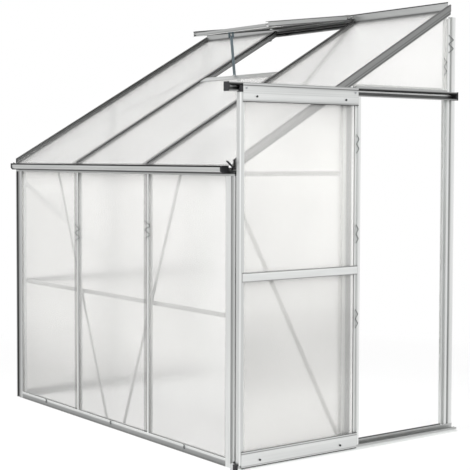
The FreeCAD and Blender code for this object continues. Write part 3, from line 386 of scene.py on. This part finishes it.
def fluted_slab(corners, pitch, relief, samples=6):
    """Points and faces of a slab whose two skins sink a little between the ribs.

    A point is the mean of the eight corners weighted by its shares u, v and w of the width,
    length and thickness. The skins then move towards each other by
    relief * (1 - cos(2 pi s / pitch)) / 2, with s the distance across the ribs. Each pitch has the
    given number of samples.
    """
    width = np.linalg.norm(corners[1, 0, 0] - corners[0, 0, 0])
    count = max(2, int(round(width / pitch))) * samples
    u = np.linspace(0, 1, count + 1)[:, None]
    wave = relief * (1 - np.cos(2 * np.pi * u * width / pitch)) / 2
    rows = []
    for w in (0, 1):
        for v in (0, 1):
            line = corners[0, v, w] * (1 - u) + corners[1, v, w] * u
            other = corners[0, v, 1 - w] * (1 - u) + corners[1, v, 1 - w] * u
            depth = other - line
            depth = depth / np.linalg.norm(depth, axis=1)[:, None]
            rows.append(line + depth * wave)
    points = np.concatenate(rows)
    row = count + 1
    i = np.arange(count)
    a, b, c, d = i, i + row, i + 2 * row, i + 3 * row
    skins = [np.stack([a, b, b + 1, a + 1], 1), np.stack([c, c + 1, d + 1, d], 1)]
    ends = [np.stack([a, a + 1, c + 1, c], 1), np.stack([b, d, d + 1, b + 1], 1)]
    first_side = np.array([0, 2 * row, 3 * row, row])
    last_side = count + np.array([0, row, 3 * row, 2 * row])
    faces = np.concatenate(skins + ends + [[first_side, last_side]])
    across = corners[1, 0, 0] - corners[0, 0, 0]
    along = corners[0, 1, 0] - corners[0, 0, 0]
    through = corners[0, 0, 1] - corners[0, 0, 0]
    if np.dot(np.cross(across, along), through) < 0:
        faces = faces[:, ::-1]
    return points, faces.tolist()


def bent_wire(path, radius, sides=6):
    """Points and faces of a round wire along a path.

    A ring stands at each point of the path: point + radius * (cos a * side + sin a * up), where
    side lies in the plane that the wire is bent in, square to the path's direction, and up is
    square to that plane. The first and the last ring are closed by one face each.
    """
    ahead = np.gradient(path, axis=0)
    ahead /= np.linalg.norm(ahead, axis=1)[:, None]
    a_third = len(path) // 3
    off_plane = np.cross(path[-1] - path[0], path[a_third] - path[0])
    off_plane /= np.linalg.norm(off_plane)
    side = np.cross(ahead, off_plane)
    side /= np.linalg.norm(side, axis=1)[:, None]
    up = np.cross(side, ahead)
    angle = np.linspace(0, 2 * np.pi, sides, endpoint=False)
    ring = np.cos(angle)[None, :, None] * side[:, None] + np.sin(angle)[None, :, None] * up[:, None]
    points = (path[:, None] + radius * ring).reshape(-1, 3)
    i, j = np.meshgrid(np.arange(len(path) - 1), np.arange(sides), indexing="ij")
    a = (i * sides + j).ravel()
    b = (i * sides + (j + 1) % sides).ravel()
    walls = np.stack([a, b, b + sides, a + sides], 1)
    first = np.arange(sides)
    last = first + (len(path) - 1) * sides
    faces = walls.tolist() + [first[::-1].tolist(), last.tolist()]
    outward = np.dot(np.cross(points[1] - points[0], points[sides] - points[0]), points[0] - path[0])
    if outward < 0:
        faces = [face[::-1] for face in faces]
    return points, faces


def zigzag_path(place, across, reach, height, strokes=4, samples=12):
    """Path of a spring clip: it climbs at a steady rate and swings from side to side.

    With s from 0 to the number of strokes, the swing is reach * asin(k cos(pi s)) / asin(k),
    a triangular wave. Its tips are rounder the further k is below 1.
    """
    k = 0.96
    s = np.linspace(0, strokes, strokes * samples + 1)
    swing = -reach * np.arcsin(k * np.cos(np.pi * s)) / np.arcsin(k)
    path = np.asarray(place, float) + swing[:, None] * np.asarray(across, float)
    path[:, 2] += height * s / strokes
    return path


class Wiring:
    """Short ways to add and join shader nodes. Where a value is asked for, a socket also does."""

    # Places of the colours among the sockets of a mix node, which share their labels
    first_colour, second_colour, mixed_colour = 6, 7, 2

    def __init__(self, tree):
        self.nodes = tree.nodes
        self.links = tree.links

    def add(self, kind, **properties):
        """New node of a kind with some of its properties set."""
        node = self.nodes.new("ShaderNode" + kind)
        for name, value in properties.items():
            setattr(node, name, value)
        return node

    def feed(self, slot, value):
        """Join a socket to an input, or set the input to a plain value."""
        if isinstance(value, bpy.types.NodeSocket):
            self.links.new(value, slot)
        else:
            slot.default_value = value

    def through(self, node, values, result):
        """Feed the first inputs of a node and take one of its outputs."""
        for slot, value in zip(node.inputs, values):
            self.feed(slot, value)
        return node.outputs[result]

    def maths(self, operation, *values):
        """Result of a math node."""
        return self.through(self.add("Math", operation=operation), values, "Value")

    def vector_maths(self, operation, *values, result="Vector"):
        """Result of a vector math node."""
        return self.through(self.add("VectorMath", operation=operation), values, result)

    def scaled(self, colour, factor):
        """Colour times a factor."""
        node = self.add("VectorMath", operation="SCALE")
        self.feed(node.inputs["Scale"], factor)
        return self.through(node, [colour], "Vector")

    def spread(self, value, start, end, low, high, smooth=False):
        """Number that goes from low to high while the value goes from start to end."""
        node = self.add("MapRange", interpolation_type="SMOOTHSTEP" if smooth else "LINEAR")
        return self.through(node, (value, start, end, low, high), "Result")

    def noise(self, vector, scale, detail, roughness=0.5):
        """Cloudy noise around one half."""
        node = self.add("TexNoise")
        node.inputs["Scale"].default_value = scale
        node.inputs["Detail"].default_value = detail
        node.inputs["Roughness"].default_value = roughness
        self.feed(node.inputs["Vector"], vector)
        return node.outputs["Fac"]

    def mixed(self, share, first, second):
        """Colour that goes from the first to the second with the share."""
        node = self.add("Mix", data_type="RGBA")
        self.feed(node.inputs["Factor"], share)
        self.feed(node.inputs[self.first_colour], first)
        self.feed(node.inputs[self.second_colour], second)
        return node.outputs[self.mixed_colour]

    def mixed_shader(self, share, first, second):
        """Shader that goes from the first to the second with the share."""
        return self.through(self.add("MixShader"), (share, first, second), "Shader")

    def ramp(self, share, stops):
        """Colour that runs through the stops, each a share from 0 to 1 and a colour."""
        node = self.add("ValToRGB")
        elements = node.color_ramp.elements
        while len(elements) < len(stops):
            elements.new(0.5)
        for element, (position, colour) in zip(elements, stops):
            element.position = position
            element.color = (*colour, 1.0)
        return self.through(node, [share], "Color")

    def bump(self, height, strength):
        """Normal of a fine relief."""
        node = self.add("Bump")
        node.inputs["Strength"].default_value = strength
        node.inputs["Distance"].default_value = relief_depth
        self.feed(node.inputs["Height"], height)
        return node.outputs["Normal"]

    def axis(self, vector, letter):
        """One coordinate of a vector."""
        return self.through(self.add("SeparateXYZ"), [vector], letter)

    def group(self, make, **values):
        """Outputs of a shared node group, with a value for each of its inputs."""
        node = self.add("Group", node_tree=shared_group(make))
        for label, value in values.items():
            self.feed(node.inputs[label], value)
        return node.outputs


def shared_group(make):
    """The node group that a function makes, made once and kept under the function's name."""
    for group in bpy.data.node_groups:
        if group.get("made_by") == make.__name__:
            return group
    group = make()
    group["made_by"] = make.__name__
    return group


def new_group(name, inputs, outputs):
    """Shader node group with named sockets, its wiring, and its sockets as seen from inside."""
    group = bpy.data.node_groups.new(name, "ShaderNodeTree")
    for way, sockets in (("INPUT", inputs), ("OUTPUT", outputs)):
        for label, kind in sockets.items():
            group.interface.new_socket(name=label, in_out=way, socket_type="NodeSocket" + kind)
    entry = group.nodes.new("NodeGroupInput")
    leave = group.nodes.new("NodeGroupOutput")
    return group, Wiring(group), entry.outputs, leave.inputs


def grain_group():
    """Drawing lines of an extrusion: long streaks, cloudy tone and a little height.

    The colour is scaled by 1 + Streaks * streak + Clouds * cloud, where streak and cloud are
    noises from -1 to 1 and the clouds are many times as wide as the streaks.
    """
    group, wiring, entry, leave = new_group(
        "Extrusion grain",
        {"Vector": "Vector", "Colour": "Color", "Streaks": "Float", "Clouds": "Float"},
        {"Colour": "Color", "Roughness": "Float", "Height": "Float"},
    )
    lines = wiring.noise(entry["Vector"], scale=1.0, detail=3.0, roughness=0.6)
    wide = wiring.vector_maths("MULTIPLY", entry["Vector"], (1.4, 0.12, 0.12))
    streak = wiring.spread(lines, *noise_span, -1.0, 1.0)
    cloud_span = (0.35, 0.65)
    cloud = wiring.spread(wiring.noise(wide, scale=1.0, detail=2.0), *cloud_span, -1.0, 1.0)
    streaks = wiring.maths("MULTIPLY", streak, entry["Streaks"])
    both = wiring.maths("MULTIPLY_ADD", cloud, entry["Clouds"], streaks)
    wiring.feed(leave["Colour"], wiring.scaled(entry["Colour"], wiring.maths("ADD", both, 1.0)))
    wiring.feed(leave["Roughness"], wiring.spread(lines, *noise_span, 0.30, 0.46))
    wiring.feed(leave["Height"], lines)
    return group


def rib_group():
    """Fine lines of the ribs, and a cloudy tone of the skins.

    The colour goes from the skin's to the rib's over about the last quarter of each pitch, where
    the place in a pitch is the fraction of Across / Pitch. Wide clouds and narrow flutes scale it.
    """
    group, wiring, entry, leave = new_group(
        "Rib lines",
        {"Across": "Float", "Pitch": "Float", "Vector": "Vector", "Skin": "Color", "Rib": "Color"},
        {"Colour": "Color"},
    )
    place = wiring.maths("FRACT", wiring.maths("DIVIDE", entry["Across"], entry["Pitch"]))
    rib_start = 0.72
    line = wiring.spread(place, rib_start, 1.0, 0.0, 1.0, smooth=True)
    clouds = wiring.noise(entry["Vector"], scale=2.2, detail=2.0)
    flutes = wiring.add("TexNoise", noise_dimensions="1D")
    flutes.inputs["Scale"].default_value = 120.0
    flutes.inputs["Detail"].default_value = 2.0
    wiring.feed(flutes.inputs["W"], entry["Across"])
    cloud = wiring.spread(clouds, *noise_span, 0.95, 1.0)
    flute = wiring.spread(flutes.outputs["Fac"], *noise_span, 0.982, 1.008)
    colour = wiring.mixed(line, entry["Skin"], entry["Rib"])
    wiring.feed(leave["Colour"], wiring.scaled(colour, wiring.maths("MULTIPLY", cloud, flute)))
    return group


def screen_shade(shade, gain):
    """Linear strength of a shade as a screen shows it, less the gain of the studio light.

    It is the shade's share of 255, to the power of 2.2, divided by the gain.
    """
    return (shade / 255) ** 2.2 / gain


def banded_shade(wiring, place, bands, points, gain):
    """Socket with the painted highlights and shade across a section.

    The place across is the dot product of the point and the direction, or its size where the
    bands are folded, less the least of it among the given points.
    """
    reach = points @ np.array(bands.direction)
    across = wiring.vector_maths("DOT_PRODUCT", place, bands.direction, result="Value")
    if bands.folded:
        reach = np.abs(reach)
        across = wiring.maths("ABSOLUTE", across)
    first, last = bands.stops[0][0], bands.stops[-1][0]
    share = wiring.spread(across, reach.min() + first / 1000, reach.min() + last / 1000, 0.0, 1.0)
    stops = [((distance - first) / (last - first), [screen_shade(shade, gain)] * 3)
             for distance, shade in bands.stops]
    return wiring.ramp(share, stops)


def new_material(name):
    """Material with only a Principled BSDF and its output."""
    material = bpy.data.materials.new(name)
    material.use_nodes = True
    wiring = Wiring(material.node_tree)
    wiring.nodes.clear()
    output = wiring.add("OutputMaterial")
    shader = wiring.add("BsdfPrincipled")
    wiring.feed(output.inputs["Surface"], shader.outputs["BSDF"])
    return material, wiring, shader.inputs, shader.outputs["BSDF"], output.inputs["Surface"]


def dress(material, *nodes):
    """Give CAD nodes a material."""
    for node in nodes:
        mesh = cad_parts[node].data
        if mesh.materials:
            mesh.materials[0] = material
        else:
            mesh.materials.append(material)


def aluminium(name, turn, nodes, bands, seams=clear_groove_shade, side_bands=None):
    """Mill-finished extrusion with drawing lines, painted bands of highlight and shade, and painted shade in
    grooves.

    Faces that look along X take the side bands, where these are given: painted shade of their own for the
    light on that side.
    """
    tone = bpy.context.scene.greenhouse_metal
    material, wiring, shader, _, _ = new_material(name)
    shader["Metallic"].default_value = 1.0
    points = np.concatenate([node_points(node) for node in nodes])
    place = wiring.add("TexCoord").outputs
    shade = banded_shade(wiring, place["Object"], bands, points, tone.gain)
    if side_bands:
        other = banded_shade(wiring, place["Object"], side_bands, points, tone.gain)
        slanted, square_on = 0.6, 0.8
        facing = wiring.maths("ABSOLUTE", wiring.axis(place["Normal"], "X"))
        side = wiring.spread(facing, slanted, square_on, 0.0, 1.0, smooth=True)
        shade = wiring.mixed(side, shade, other)
    along_bar = wiring.add("Mapping", vector_type="TEXTURE")
    along_bar.inputs["Rotation"].default_value = turn
    along_bar.inputs["Scale"].default_value = (grain_length, grain_width, grain_width)
    wiring.feed(along_bar.inputs["Vector"], place["Object"])
    grain = wiring.group(
        grain_group, Vector=along_bar.outputs["Vector"], Streaks=0.04, Clouds=0.04,
        Colour=wiring.vector_maths("MULTIPLY", shade, tone.tint),
    )
    # Painted shade: ambient occlusion mixes the seams' colour into grooves and recesses, by the given share
    hollow = wiring.add("AmbientOcclusion", samples=8)
    hollow.inputs["Distance"].default_value = tone.groove_shade_reach
    closed_in, open_face = 0.15, 0.65
    groove = wiring.spread(hollow.outputs["AO"], closed_in, open_face, seams, 0.0, smooth=True)
    wiring.feed(shader["Base Color"], wiring.mixed(groove, grain["Colour"], (*tone.seam, 1.0)))
    wiring.feed(shader["Roughness"], grain["Roughness"])
    wiring.feed(shader["Normal"], wiring.bump(grain["Height"], 0.15))
    dress(material, *nodes)


def steel(name, colour):
    """Zinc-plated steel with a fine mottle."""
    material, wiring, shader, _, _ = new_material(name)
    shader["Metallic"].default_value = 1.0
    mottle = wiring.noise(wiring.add("TexCoord").outputs["Object"], scale=400.0, detail=4.0)
    dark = [part * 0.75 for part in colour]
    light = [min(1.0, part * 1.15) for part in colour]
    wiring.feed(shader["Base Color"], wiring.ramp(mottle, tuple(zip(noise_span, (dark, light)))))
    wiring.feed(shader["Roughness"], wiring.spread(mottle, 0.0, 1.0, 0.25, 0.5))
    return material


def moulded_plastic(name, colour, bare=None):
    """Moulded black plastic with a fine spark-eroded skin.

    Where a bare colour is given, it shows close to the ground on the side toward the sheets. It
    goes over into black between bare_until and black_from.
    """
    material, wiring, shader, _, _ = new_material(name)
    place = wiring.add("TexCoord").outputs["Object"]
    skin = wiring.noise(place, scale=900.0, detail=3.0)
    surface = wiring.ramp(skin, ((0.0, colour), (1.0, [part * 2.2 for part in colour])))
    if bare:
        bare_until, black_from = 0.976, 0.979
        low, high = 0.1, 0.2
        inside = wiring.spread(wiring.axis(place, "X"), bare_until, black_from, 1.0, 0.0, smooth=True)
        near_ground = wiring.spread(wiring.axis(place, "Z"), low, high, 1.0, 0.0, smooth=True)
        surface = wiring.mixed(wiring.maths("MULTIPLY", inside, near_ground), surface, bare)
    wiring.feed(shader["Base Color"], surface)
    shader["Specular IOR Level"].default_value = 0.2
    wiring.feed(shader["Roughness"], wiring.spread(skin, 0.0, 1.0, 0.38, 0.6))
    wiring.feed(shader["Normal"], wiring.bump(skin, 0.2))
    return material


def twin_wall(name, axis, sheets, painted_shade_bands, seats=(), width=0.0, darkness=1.0):
    """Milky clear sheet with fine rib lines, painted shade along it and dark strips at its seats.

    A strip lies on both sides of each seat, and its light is scaled by the darkness. It fades
    from 0.8 to 1.15 times its width off the seat. Lamps shine through the sheet.
    """
    settings = bpy.context.scene.greenhouse_sheet
    material, wiring, shader, surface, output = new_material(name)
    place = wiring.add("TexCoord").outputs["Object"]
    across = wiring.axis(place, axis)
    ribs = wiring.group(
        rib_group, Across=across, Pitch=settings.rib_pitch, Vector=place,
        Skin=(*settings.tint, 1.0), Rib=(*settings.rib_tint, 1.0),
    )
    points = np.concatenate([node_points(sheet) for sheet in sheets])
    no_gain = 1.0
    # Painted shade along the sheet scales its colour
    colour = wiring.scaled(ribs["Colour"], banded_shade(wiring, place, painted_shade_bands, points, no_gain))
    for seat in seats:
        distance = wiring.maths("ABSOLUTE", wiring.maths("SUBTRACT", across, seat))
        strip = wiring.spread(distance, width * 0.8, width * 1.15, darkness, 1.0, smooth=True)
        colour = wiring.scaled(colour, strip)
    wiring.feed(shader["Base Color"], colour)
    shader["Roughness"].default_value = settings.blur
    shader["IOR"].default_value = 1.45
    shader["Transmission Weight"].default_value = settings.clearness
    # A ray passes two faces of a sheet, so each takes the square root of the tint
    clear = wiring.add("BsdfTransparent")
    clear.inputs["Color"].default_value = (*[part ** 0.5 for part in settings.tint], 1.0)
    shadow_ray = wiring.add("LightPath").outputs["Is Shadow Ray"]
    wiring.feed(output, wiring.mixed_shader(shadow_ray, surface, clear.outputs["BSDF"]))
    return material


def seen_directly(wiring):
    """Socket that is 1 for rays from the eye, and for those that a gloss or a clear sheet sends on."""
    rays = wiring.add("LightPath").outputs
    seen = wiring.maths("MAXIMUM", rays["Is Camera Ray"], rays["Is Glossy Ray"])
    return wiring.maths("MAXIMUM", seen, rays["Is Transmission Ray"])


class AddSheets(bpy.types.Operator):
    """Twin-wall sheets with sunk skins, one for each bay of the walls, roof, door and window"""

    bl_idname = "greenhouse.add_sheets"
    bl_label = "Twin-wall sheets"

    def execute(self, context):
        settings = context.scene.greenhouse_sheet
        walls = ("front_sheet_left", "front_sheet_middle", "front_sheet_right")
        gables = ("left_gable_sheet_front", "left_gable_sheet_rear", "right_gable_sheet_front",
                  "gable_top_sheets")
        roofs = ("roof_sheet_left", "roof_sheet_middle", "roof_sheet_right")
        left_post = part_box("front_posts")[0][0]
        right_post = -left_post - context.scene.greenhouse_clips.bar
        roof_seats = [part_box(sheet)[0][0] for sheet in roofs]
        # Seats that have dark strips, the width of these, and the share of the light that passes them
        strips = {
            "front": ((left_post, right_post), settings.flange, settings.flange_shade),
            "roof": (roof_seats, settings.seal, settings.seal_shade),
        }
        # Kind, nodes, axes, body, painted shade along the sheet
        for kind, nodes, axes, body, bands in (
            ("front", walls, ACROSS_X, "frame", Bands(UP, wall_painted_shade)),
            ("gable", gables, ACROSS_Y, "frame", Bands(UP, gable_painted_shade)),
            ("roof", roofs, UP_THE_ROOF, "frame", Bands(BACK, roof_painted_shade)),
            ("door_lower", ("door_sheet_lower",), ACROSS_Y, "door", Bands(UP, lower_door_painted_shade)),
            ("door_upper", ("door_sheet_upper",), ACROSS_Y, "door", Bands(UP, upper_door_painted_shade)),
            ("window", ("window_sheet",), UP_THE_ROOF, "roof_window", Bands(BACK, window_painted_shade)),
        ):
            letter = "XYZ"[axes[0]]
            material = twin_wall("twin_wall_" + kind, letter, nodes, bands, *strips.get(kind, ()))
            for node in nodes:
                points = node_points(node)
                if node == "gable_top_sheets":
                    left = points[:, 0] < 0
                    self.sheet(node, "_left", points[left], axes, body, material, settings)
                    self.sheet(node, "_right", points[~left], axes, body, material, settings)
                else:
                    self.sheet(node, "", points, axes, body, material, settings)
        return {"FINISHED"}

    def sheet(self, node, side, points, axes, body, material, settings):
        """One sheet in the place of a node. Of a node's two sheets, the left one stands for it."""
        made = fluted_slab(slab_corners(points, axes), settings.rib_pitch, settings.relief)
        piece = add_piece("twin_wall_" + node + side, *made, body, "twin_wall_sheet", material)
        if side != "_right":
            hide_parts(node)


class AddClips(bpy.types.Operator):
    """Bent wire clips over the bars that hold the sheets, and small clips on the front base rail"""

    bl_idname = "greenhouse.add_clips"
    bl_label = "Wire clips"

    def execute(self, context):
        settings = context.scene.greenhouse_clips
        wire = steel("clip_wire_steel", context.scene.greenhouse_metal.wire)
        out = settings.wire
        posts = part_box("front_posts")
        gable_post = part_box("gable_post_left")
        wall_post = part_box("wall_post_right")
        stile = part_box("door_stile_rear")
        half = settings.bar / 2
        post_x = abs(posts[0][0]) - half
        post_y = posts[0][1] - out
        gable_x = gable_post[0][0] - out
        gable_y = (gable_post[0][1] + gable_post[1][1]) / 2
        wall_x = wall_post[1][0] + out
        wall_y = wall_post[0][1]
        stile_x = stile[1][0] + out
        stile_y = stile[0][1]
        base_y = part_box("base_rail_front")[0][1] - out
        tall, small = settings.height, settings.base_clip
        low = settings.base_clip_z
        # Place of the lower end, direction and reach of the strokes, body, height
        clips = (
            ((-post_x, post_y, 0.855), EAST, half, "frame", tall),
            ((post_x, post_y, 0.899), EAST, half, "frame", tall),
            ((gable_x, gable_y, 0.5), BACK, half, "frame", tall),
            ((gable_x, gable_y, 1.2), BACK, half, "frame", tall),
            ((-wall_x, wall_y - 0.002, 1.636), BACK, 0.009, "frame", tall),
            ((wall_x, wall_y - 0.002, 1.636), BACK, 0.009, "frame", tall),
            ((wall_x, wall_y + 0.034, 1.74), BACK, 0.014, "frame", tall),
            ((stile_x, stile_y + 0.010, 1.28), BACK, 0.007, "door", tall),
            ((stile_x, stile_y + 0.010, 0.895), BACK, 0.007, "door", tall),
            ((stile_x, stile_y + 0.010, 0.53), BACK, 0.007, "door", tall),
            ((-0.636, base_y, low), EAST, 0.005, "frame", small),
            ((-0.006, base_y, low), EAST, 0.005, "frame", small),
            ((0.601, base_y, low), EAST, 0.005, "frame", small),
        )
        for number, (place, across, reach, body, height) in enumerate(clips, start=1):
            made = bent_wire(zigzag_path(place, across, reach, height), settings.wire)
            piece = add_piece(f"wire_clip_{number}", *made, body, "spring_wire", wire)
            if number == 1:
                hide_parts("glazing_clips")
        return {"FINISHED"}


class FinishAluminium(bpy.types.Operator):
    """Mill finish on the extruded aluminium pieces, with its grain along each piece and painted highlights
    and shade across it
    """

    bl_idname = "greenhouse.finish_aluminium"
    bl_label = "Aluminium"

    def execute(self, context):
        # Finish, turn of the grain, nodes, painted highlight and shade bands, and where they differ: share
        # of painted shade in the grooves, painted shade bands of the sides. Pieces of one extrusion on
        # different sides, such as the left and right verge, take differently painted light and shade
        for name, *finish in (
            ("left_corner", upright, ["corner_post_left"], Bands(EAST, left_corner_shades)),
            ("right_corner", upright, ["corner_post_right"], Bands(EAST, right_corner_shades), soft_groove_shade,
             Bands(BACK, corner_side_shades)),
            ("front_post", upright, ["front_posts"], Bands(EAST, bar_shades, True), no_groove_shade),
            ("gable_post", upright, ["gable_post_left"], Bands(BACK, bar_shades)),
            ("jamb", upright, ["door_jamb_post"], Bands(BACK, jamb_shades)),
            ("wall_post", upright, ["wall_post_left", "wall_post_right"], Bands(BACK, wall_post_shades),
             faint_groove_shade),
            ("gutter", along_wall, ["gutter"], Bands(UP, gutter_shades)),
            ("eave", along_wall, ["eave_beam"], Bands(UP, eave_shades)),
            ("girt", along_wall, ["front_girt"], Bands(UP, girt_shades)),
            ("gable_girt", along_gable, ["gable_girts"], Bands(UP, gable_girt_shades)),
            ("head_rail", along_gable, ["head_rails"], Bands(UP, head_rail_shades)),
            ("brace", along_gable, ["front_braces", "gable_braces"], Bands(UP, brace_shades)),
            ("roof_brace", along_gable, ["roof_braces"], Bands(UP, roof_brace_shades)),
            ("left_verge", up_roof, ["gable_rafter_left"], Bands(OFF_ROOF, left_verge_shades)),
            ("verge", up_roof, ["gable_rafter_right"], Bands(OFF_ROOF, verge_shades)),
            ("rafter", up_roof, ["mid_rafters"], Bands(OFF_ROOF, rafter_shades)),
            ("ridge", along_wall, ["ridge_wall_plate"], Bands(UP, ridge_shades), soft_groove_shade),
            ("sill", along_wall, ["window_sill"], Bands(BACK, sill_shades)),
            ("window_hinge", along_wall, ["window_hinge_rail"], Bands(UP, window_hinge_shades)),
            ("window_bottom", along_wall, ["window_bottom_rail"], Bands(UP, window_bottom_shades)),
            ("window_side", up_window, ["window_side_rails"], Bands(OFF_WINDOW, window_side_shades)),
            ("front_stile", upright, ["door_stile_front"], Bands(BACK, front_stile_shades)),
            ("rear_stile", upright, ["door_stile_rear"], Bands(BACK, rear_stile_shades)),
            ("top_plate", along_gable, ["door_top_plate"], Bands(UP, top_plate_shades)),
            ("mid_rail", along_gable, ["door_mid_rail"], Bands(UP, mid_rail_shades)),
            ("bottom_plate", along_gable, ["door_bottom_plate"], Bands(UP, bottom_plate_shades)),
            ("top_track", along_gable, ["door_top_track"], Bands(UP, top_track_shades)),
            ("threshold", along_gable, ["door_bottom_track"], Bands(UP, threshold_shades), faint_groove_shade),
            ("side_base", along_gable, ["base_rail_left", "base_rail_right"], Bands(UP, side_base_shades)),
            ("front_base", along_wall, ["base_rail_front"], Bands(UP, front_base_shades), no_groove_shade),
        ):
            aluminium(name + "_aluminium", *finish)
        return {"FINISHED"}


class FinishPlastic(bpy.types.Operator):
    """Moulded skin on the plastic caps, stops, shoes and rollers"""

    bl_idname = "greenhouse.finish_plastic"
    bl_label = "Plastic"

    def execute(self, context):
        settings = context.scene.greenhouse_metal
        black = moulded_plastic("black_plastic", settings.plastic)
        part_bare = moulded_plastic("track_end_plastic", settings.plastic, bare_metal)
        pieces = ("gutter_end_caps", "rafter_foot_caps", "track_end_caps", "door_end_stop",
                  "door_guides", "roller_front", "roller_rear")
        dress(black, *pieces)
        dress(part_bare, "track_end_caps")
        for node in pieces:
            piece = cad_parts[node]
            weld = piece.modifiers.new("weld", "WELD")
            weld.merge_threshold = 0.00001
            edge = piece.modifiers.new("rounded edges", "BEVEL")
            edge.limit_method = "ANGLE"
            edge.angle_limit = math.radians(40)
            edge.width = settings.gutter_cap_edge if node == "gutter_end_caps" else settings.moulded_edge
            edge.segments = 2
        return {"FINISHED"}


class FinishSteel(bpy.types.Operator):
    """Zinc plating on the bolts, axles and stay"""

    bl_idname = "greenhouse.finish_steel"
    bl_label = "Steel"

    def execute(self, context):
        settings = context.scene.greenhouse_metal
        dress(steel("zinc_steel", settings.steel), "frame_bolts", "roller_axles", "stay_peg_plate")
        dress(steel("door_bolt_steel", settings.bolts), "door_bolts")
        dress(steel("stay_steel", settings.stay), "stay_bracket", "window_stay")
        return {"FINISHED"}


class SetStage(bpy.types.Operator):
    """Pale floor, soft light and the camera"""

    bl_idname = "greenhouse.set_stage"
    bl_label = "Stage"

    def execute(self, context):
        settings = context.scene.greenhouse_stage
        self.floor(context, settings)
        self.world(context, settings)
        self.lamps(context, settings)
        self.camera(context, settings)
        context.scene.view_settings.view_transform = "Standard"
        return {"FINISHED"}

    def floor(self, context, settings):
        """Flat square under the object, white to the eye far off and lightly shaded close by."""
        half = settings.floor_size / 2
        low = cad_box[0].z
        mesh = bpy.data.meshes.new("floor")
        corners = [(-half, -half, low), (half, -half, low), (half, half, low), (-half, half, low)]
        mesh.from_pydata(corners, [], [(0, 1, 2, 3)])
        floor = bpy.data.objects.new("floor", mesh)
        context.scene.collection.objects.link(floor)
        material, wiring, shader, surface, output = new_material("pale_floor")
        shader["Base Color"].default_value = (0.86, 0.86, 0.86, 1.0)
        shader["Roughness"].default_value = 0.9
        glow = wiring.add("Emission")
        glow.inputs["Color"].default_value = white
        place = wiring.add("TexCoord").outputs["Object"]
        distance = wiring.vector_maths("LENGTH", place, result="Value")
        fade = wiring.spread(distance, settings.fade_start, settings.fade_end, settings.whiteness, 1.0)
        share = wiring.maths("MULTIPLY", fade, seen_directly(wiring))
        wiring.feed(output, wiring.mixed_shader(share, surface, glow.outputs["Emission"]))
        mesh.materials.append(material)

    def world(self, context, settings):
        """Even light from all sides that shows as white where it is seen directly."""
        world = bpy.data.worlds.new("studio")
        context.scene.world = world
        world.use_nodes = True
        wiring = Wiring(world.node_tree)
        wiring.nodes.clear()
        output = wiring.add("OutputWorld")
        background = wiring.add("Background")
        background.inputs["Color"].default_value = white
        strength = wiring.spread(seen_directly(wiring), 0.0, 1.0, settings.sky, 1.0)
        wiring.feed(background.inputs["Strength"], strength)
        wiring.feed(output.inputs["Surface"], background.outputs["Background"])

    def lamps(self, context, settings):
        """One large soft lamp high before the front wall, and a weaker one beside the door."""
        middle = (cad_box[0] + cad_box[1]) / 2
        # Name, place from the middle of the object, side of the square, share of the power
        for name, offset, side, share in (
            ("key_lamp", Vector((0.6, -3.6, 3.4)), 3.0, 1.0),
            ("door_lamp", Vector((4.2, -0.4, 2.2)), 2.4, 0.45),
        ):
            data = bpy.data.lights.new(name, "AREA")
            data.shape = "SQUARE"
            data.size = side
            data.energy = settings.lamp * share
            lamp = bpy.data.objects.new(name, data)
            lamp.location = middle + offset
            lamp.rotation_euler = (-offset).to_track_quat("-Z", "Y").to_euler()
            context.scene.collection.objects.link(lamp)

    def camera(self, context, settings):
        """Camera off the front corner beside the door, at the height of the eave."""
        data = bpy.data.cameras.new("camera")
        data.sensor_width = 36.0
        data.lens = settings.lens
        data.shift_y = settings.rise
        data.clip_end = 200.0
        camera = bpy.data.objects.new("camera", data)
        camera.location = settings.eye
        camera.rotation_euler = Euler(settings.aim)
        context.scene.collection.objects.link(camera)
        context.scene.camera = camera


class GreenhousePanel(bpy.types.Panel):
    """Lists the steps that dress the greenhouse."""

    bl_idname = "VIEW3D_PT_greenhouse"
    bl_label = "Greenhouse"
    bl_space_type = "VIEW_3D"
    bl_region_type = "UI"
    bl_category = "Greenhouse"

    def draw(self, context):
        column = self.layout.column(align=True)
        for operator in operators:
            column.operator(operator.bl_idname)


operators = (AddSheets, AddClips, FinishAluminium, FinishPlastic, FinishSteel, SetStage)
settings_groups = {
    "greenhouse_sheet": SheetSettings,
    "greenhouse_metal": MetalSettings,
    "greenhouse_clips": ClipSettings,
    "greenhouse_stage": StageSettings,
}


def register():
    """Register all classes and hang the settings on the scene."""
    for cls in (*settings_groups.values(), *operators, GreenhousePanel):
        bpy.utils.register_class(cls)
    for name, cls in settings_groups.items():
        setattr(bpy.types.Scene, name, PointerProperty(type=cls))


def unregister():
    """Undo register."""
    for name in settings_groups:
        delattr(bpy.types.Scene, name)
    for cls in (GreenhousePanel, *reversed(operators), *reversed(settings_groups.values())):
        bpy.utils.unregister_class(cls)


def main():
    """Run every step in order."""
    register()
    bpy.ops.greenhouse.add_sheets()
    bpy.ops.greenhouse.add_clips()
    bpy.ops.greenhouse.finish_aluminium()
    bpy.ops.greenhouse.finish_plastic()
    bpy.ops.greenhouse.finish_steel()
    bpy.ops.greenhouse.set_stage()


if __name__ == "__main__":
    main()
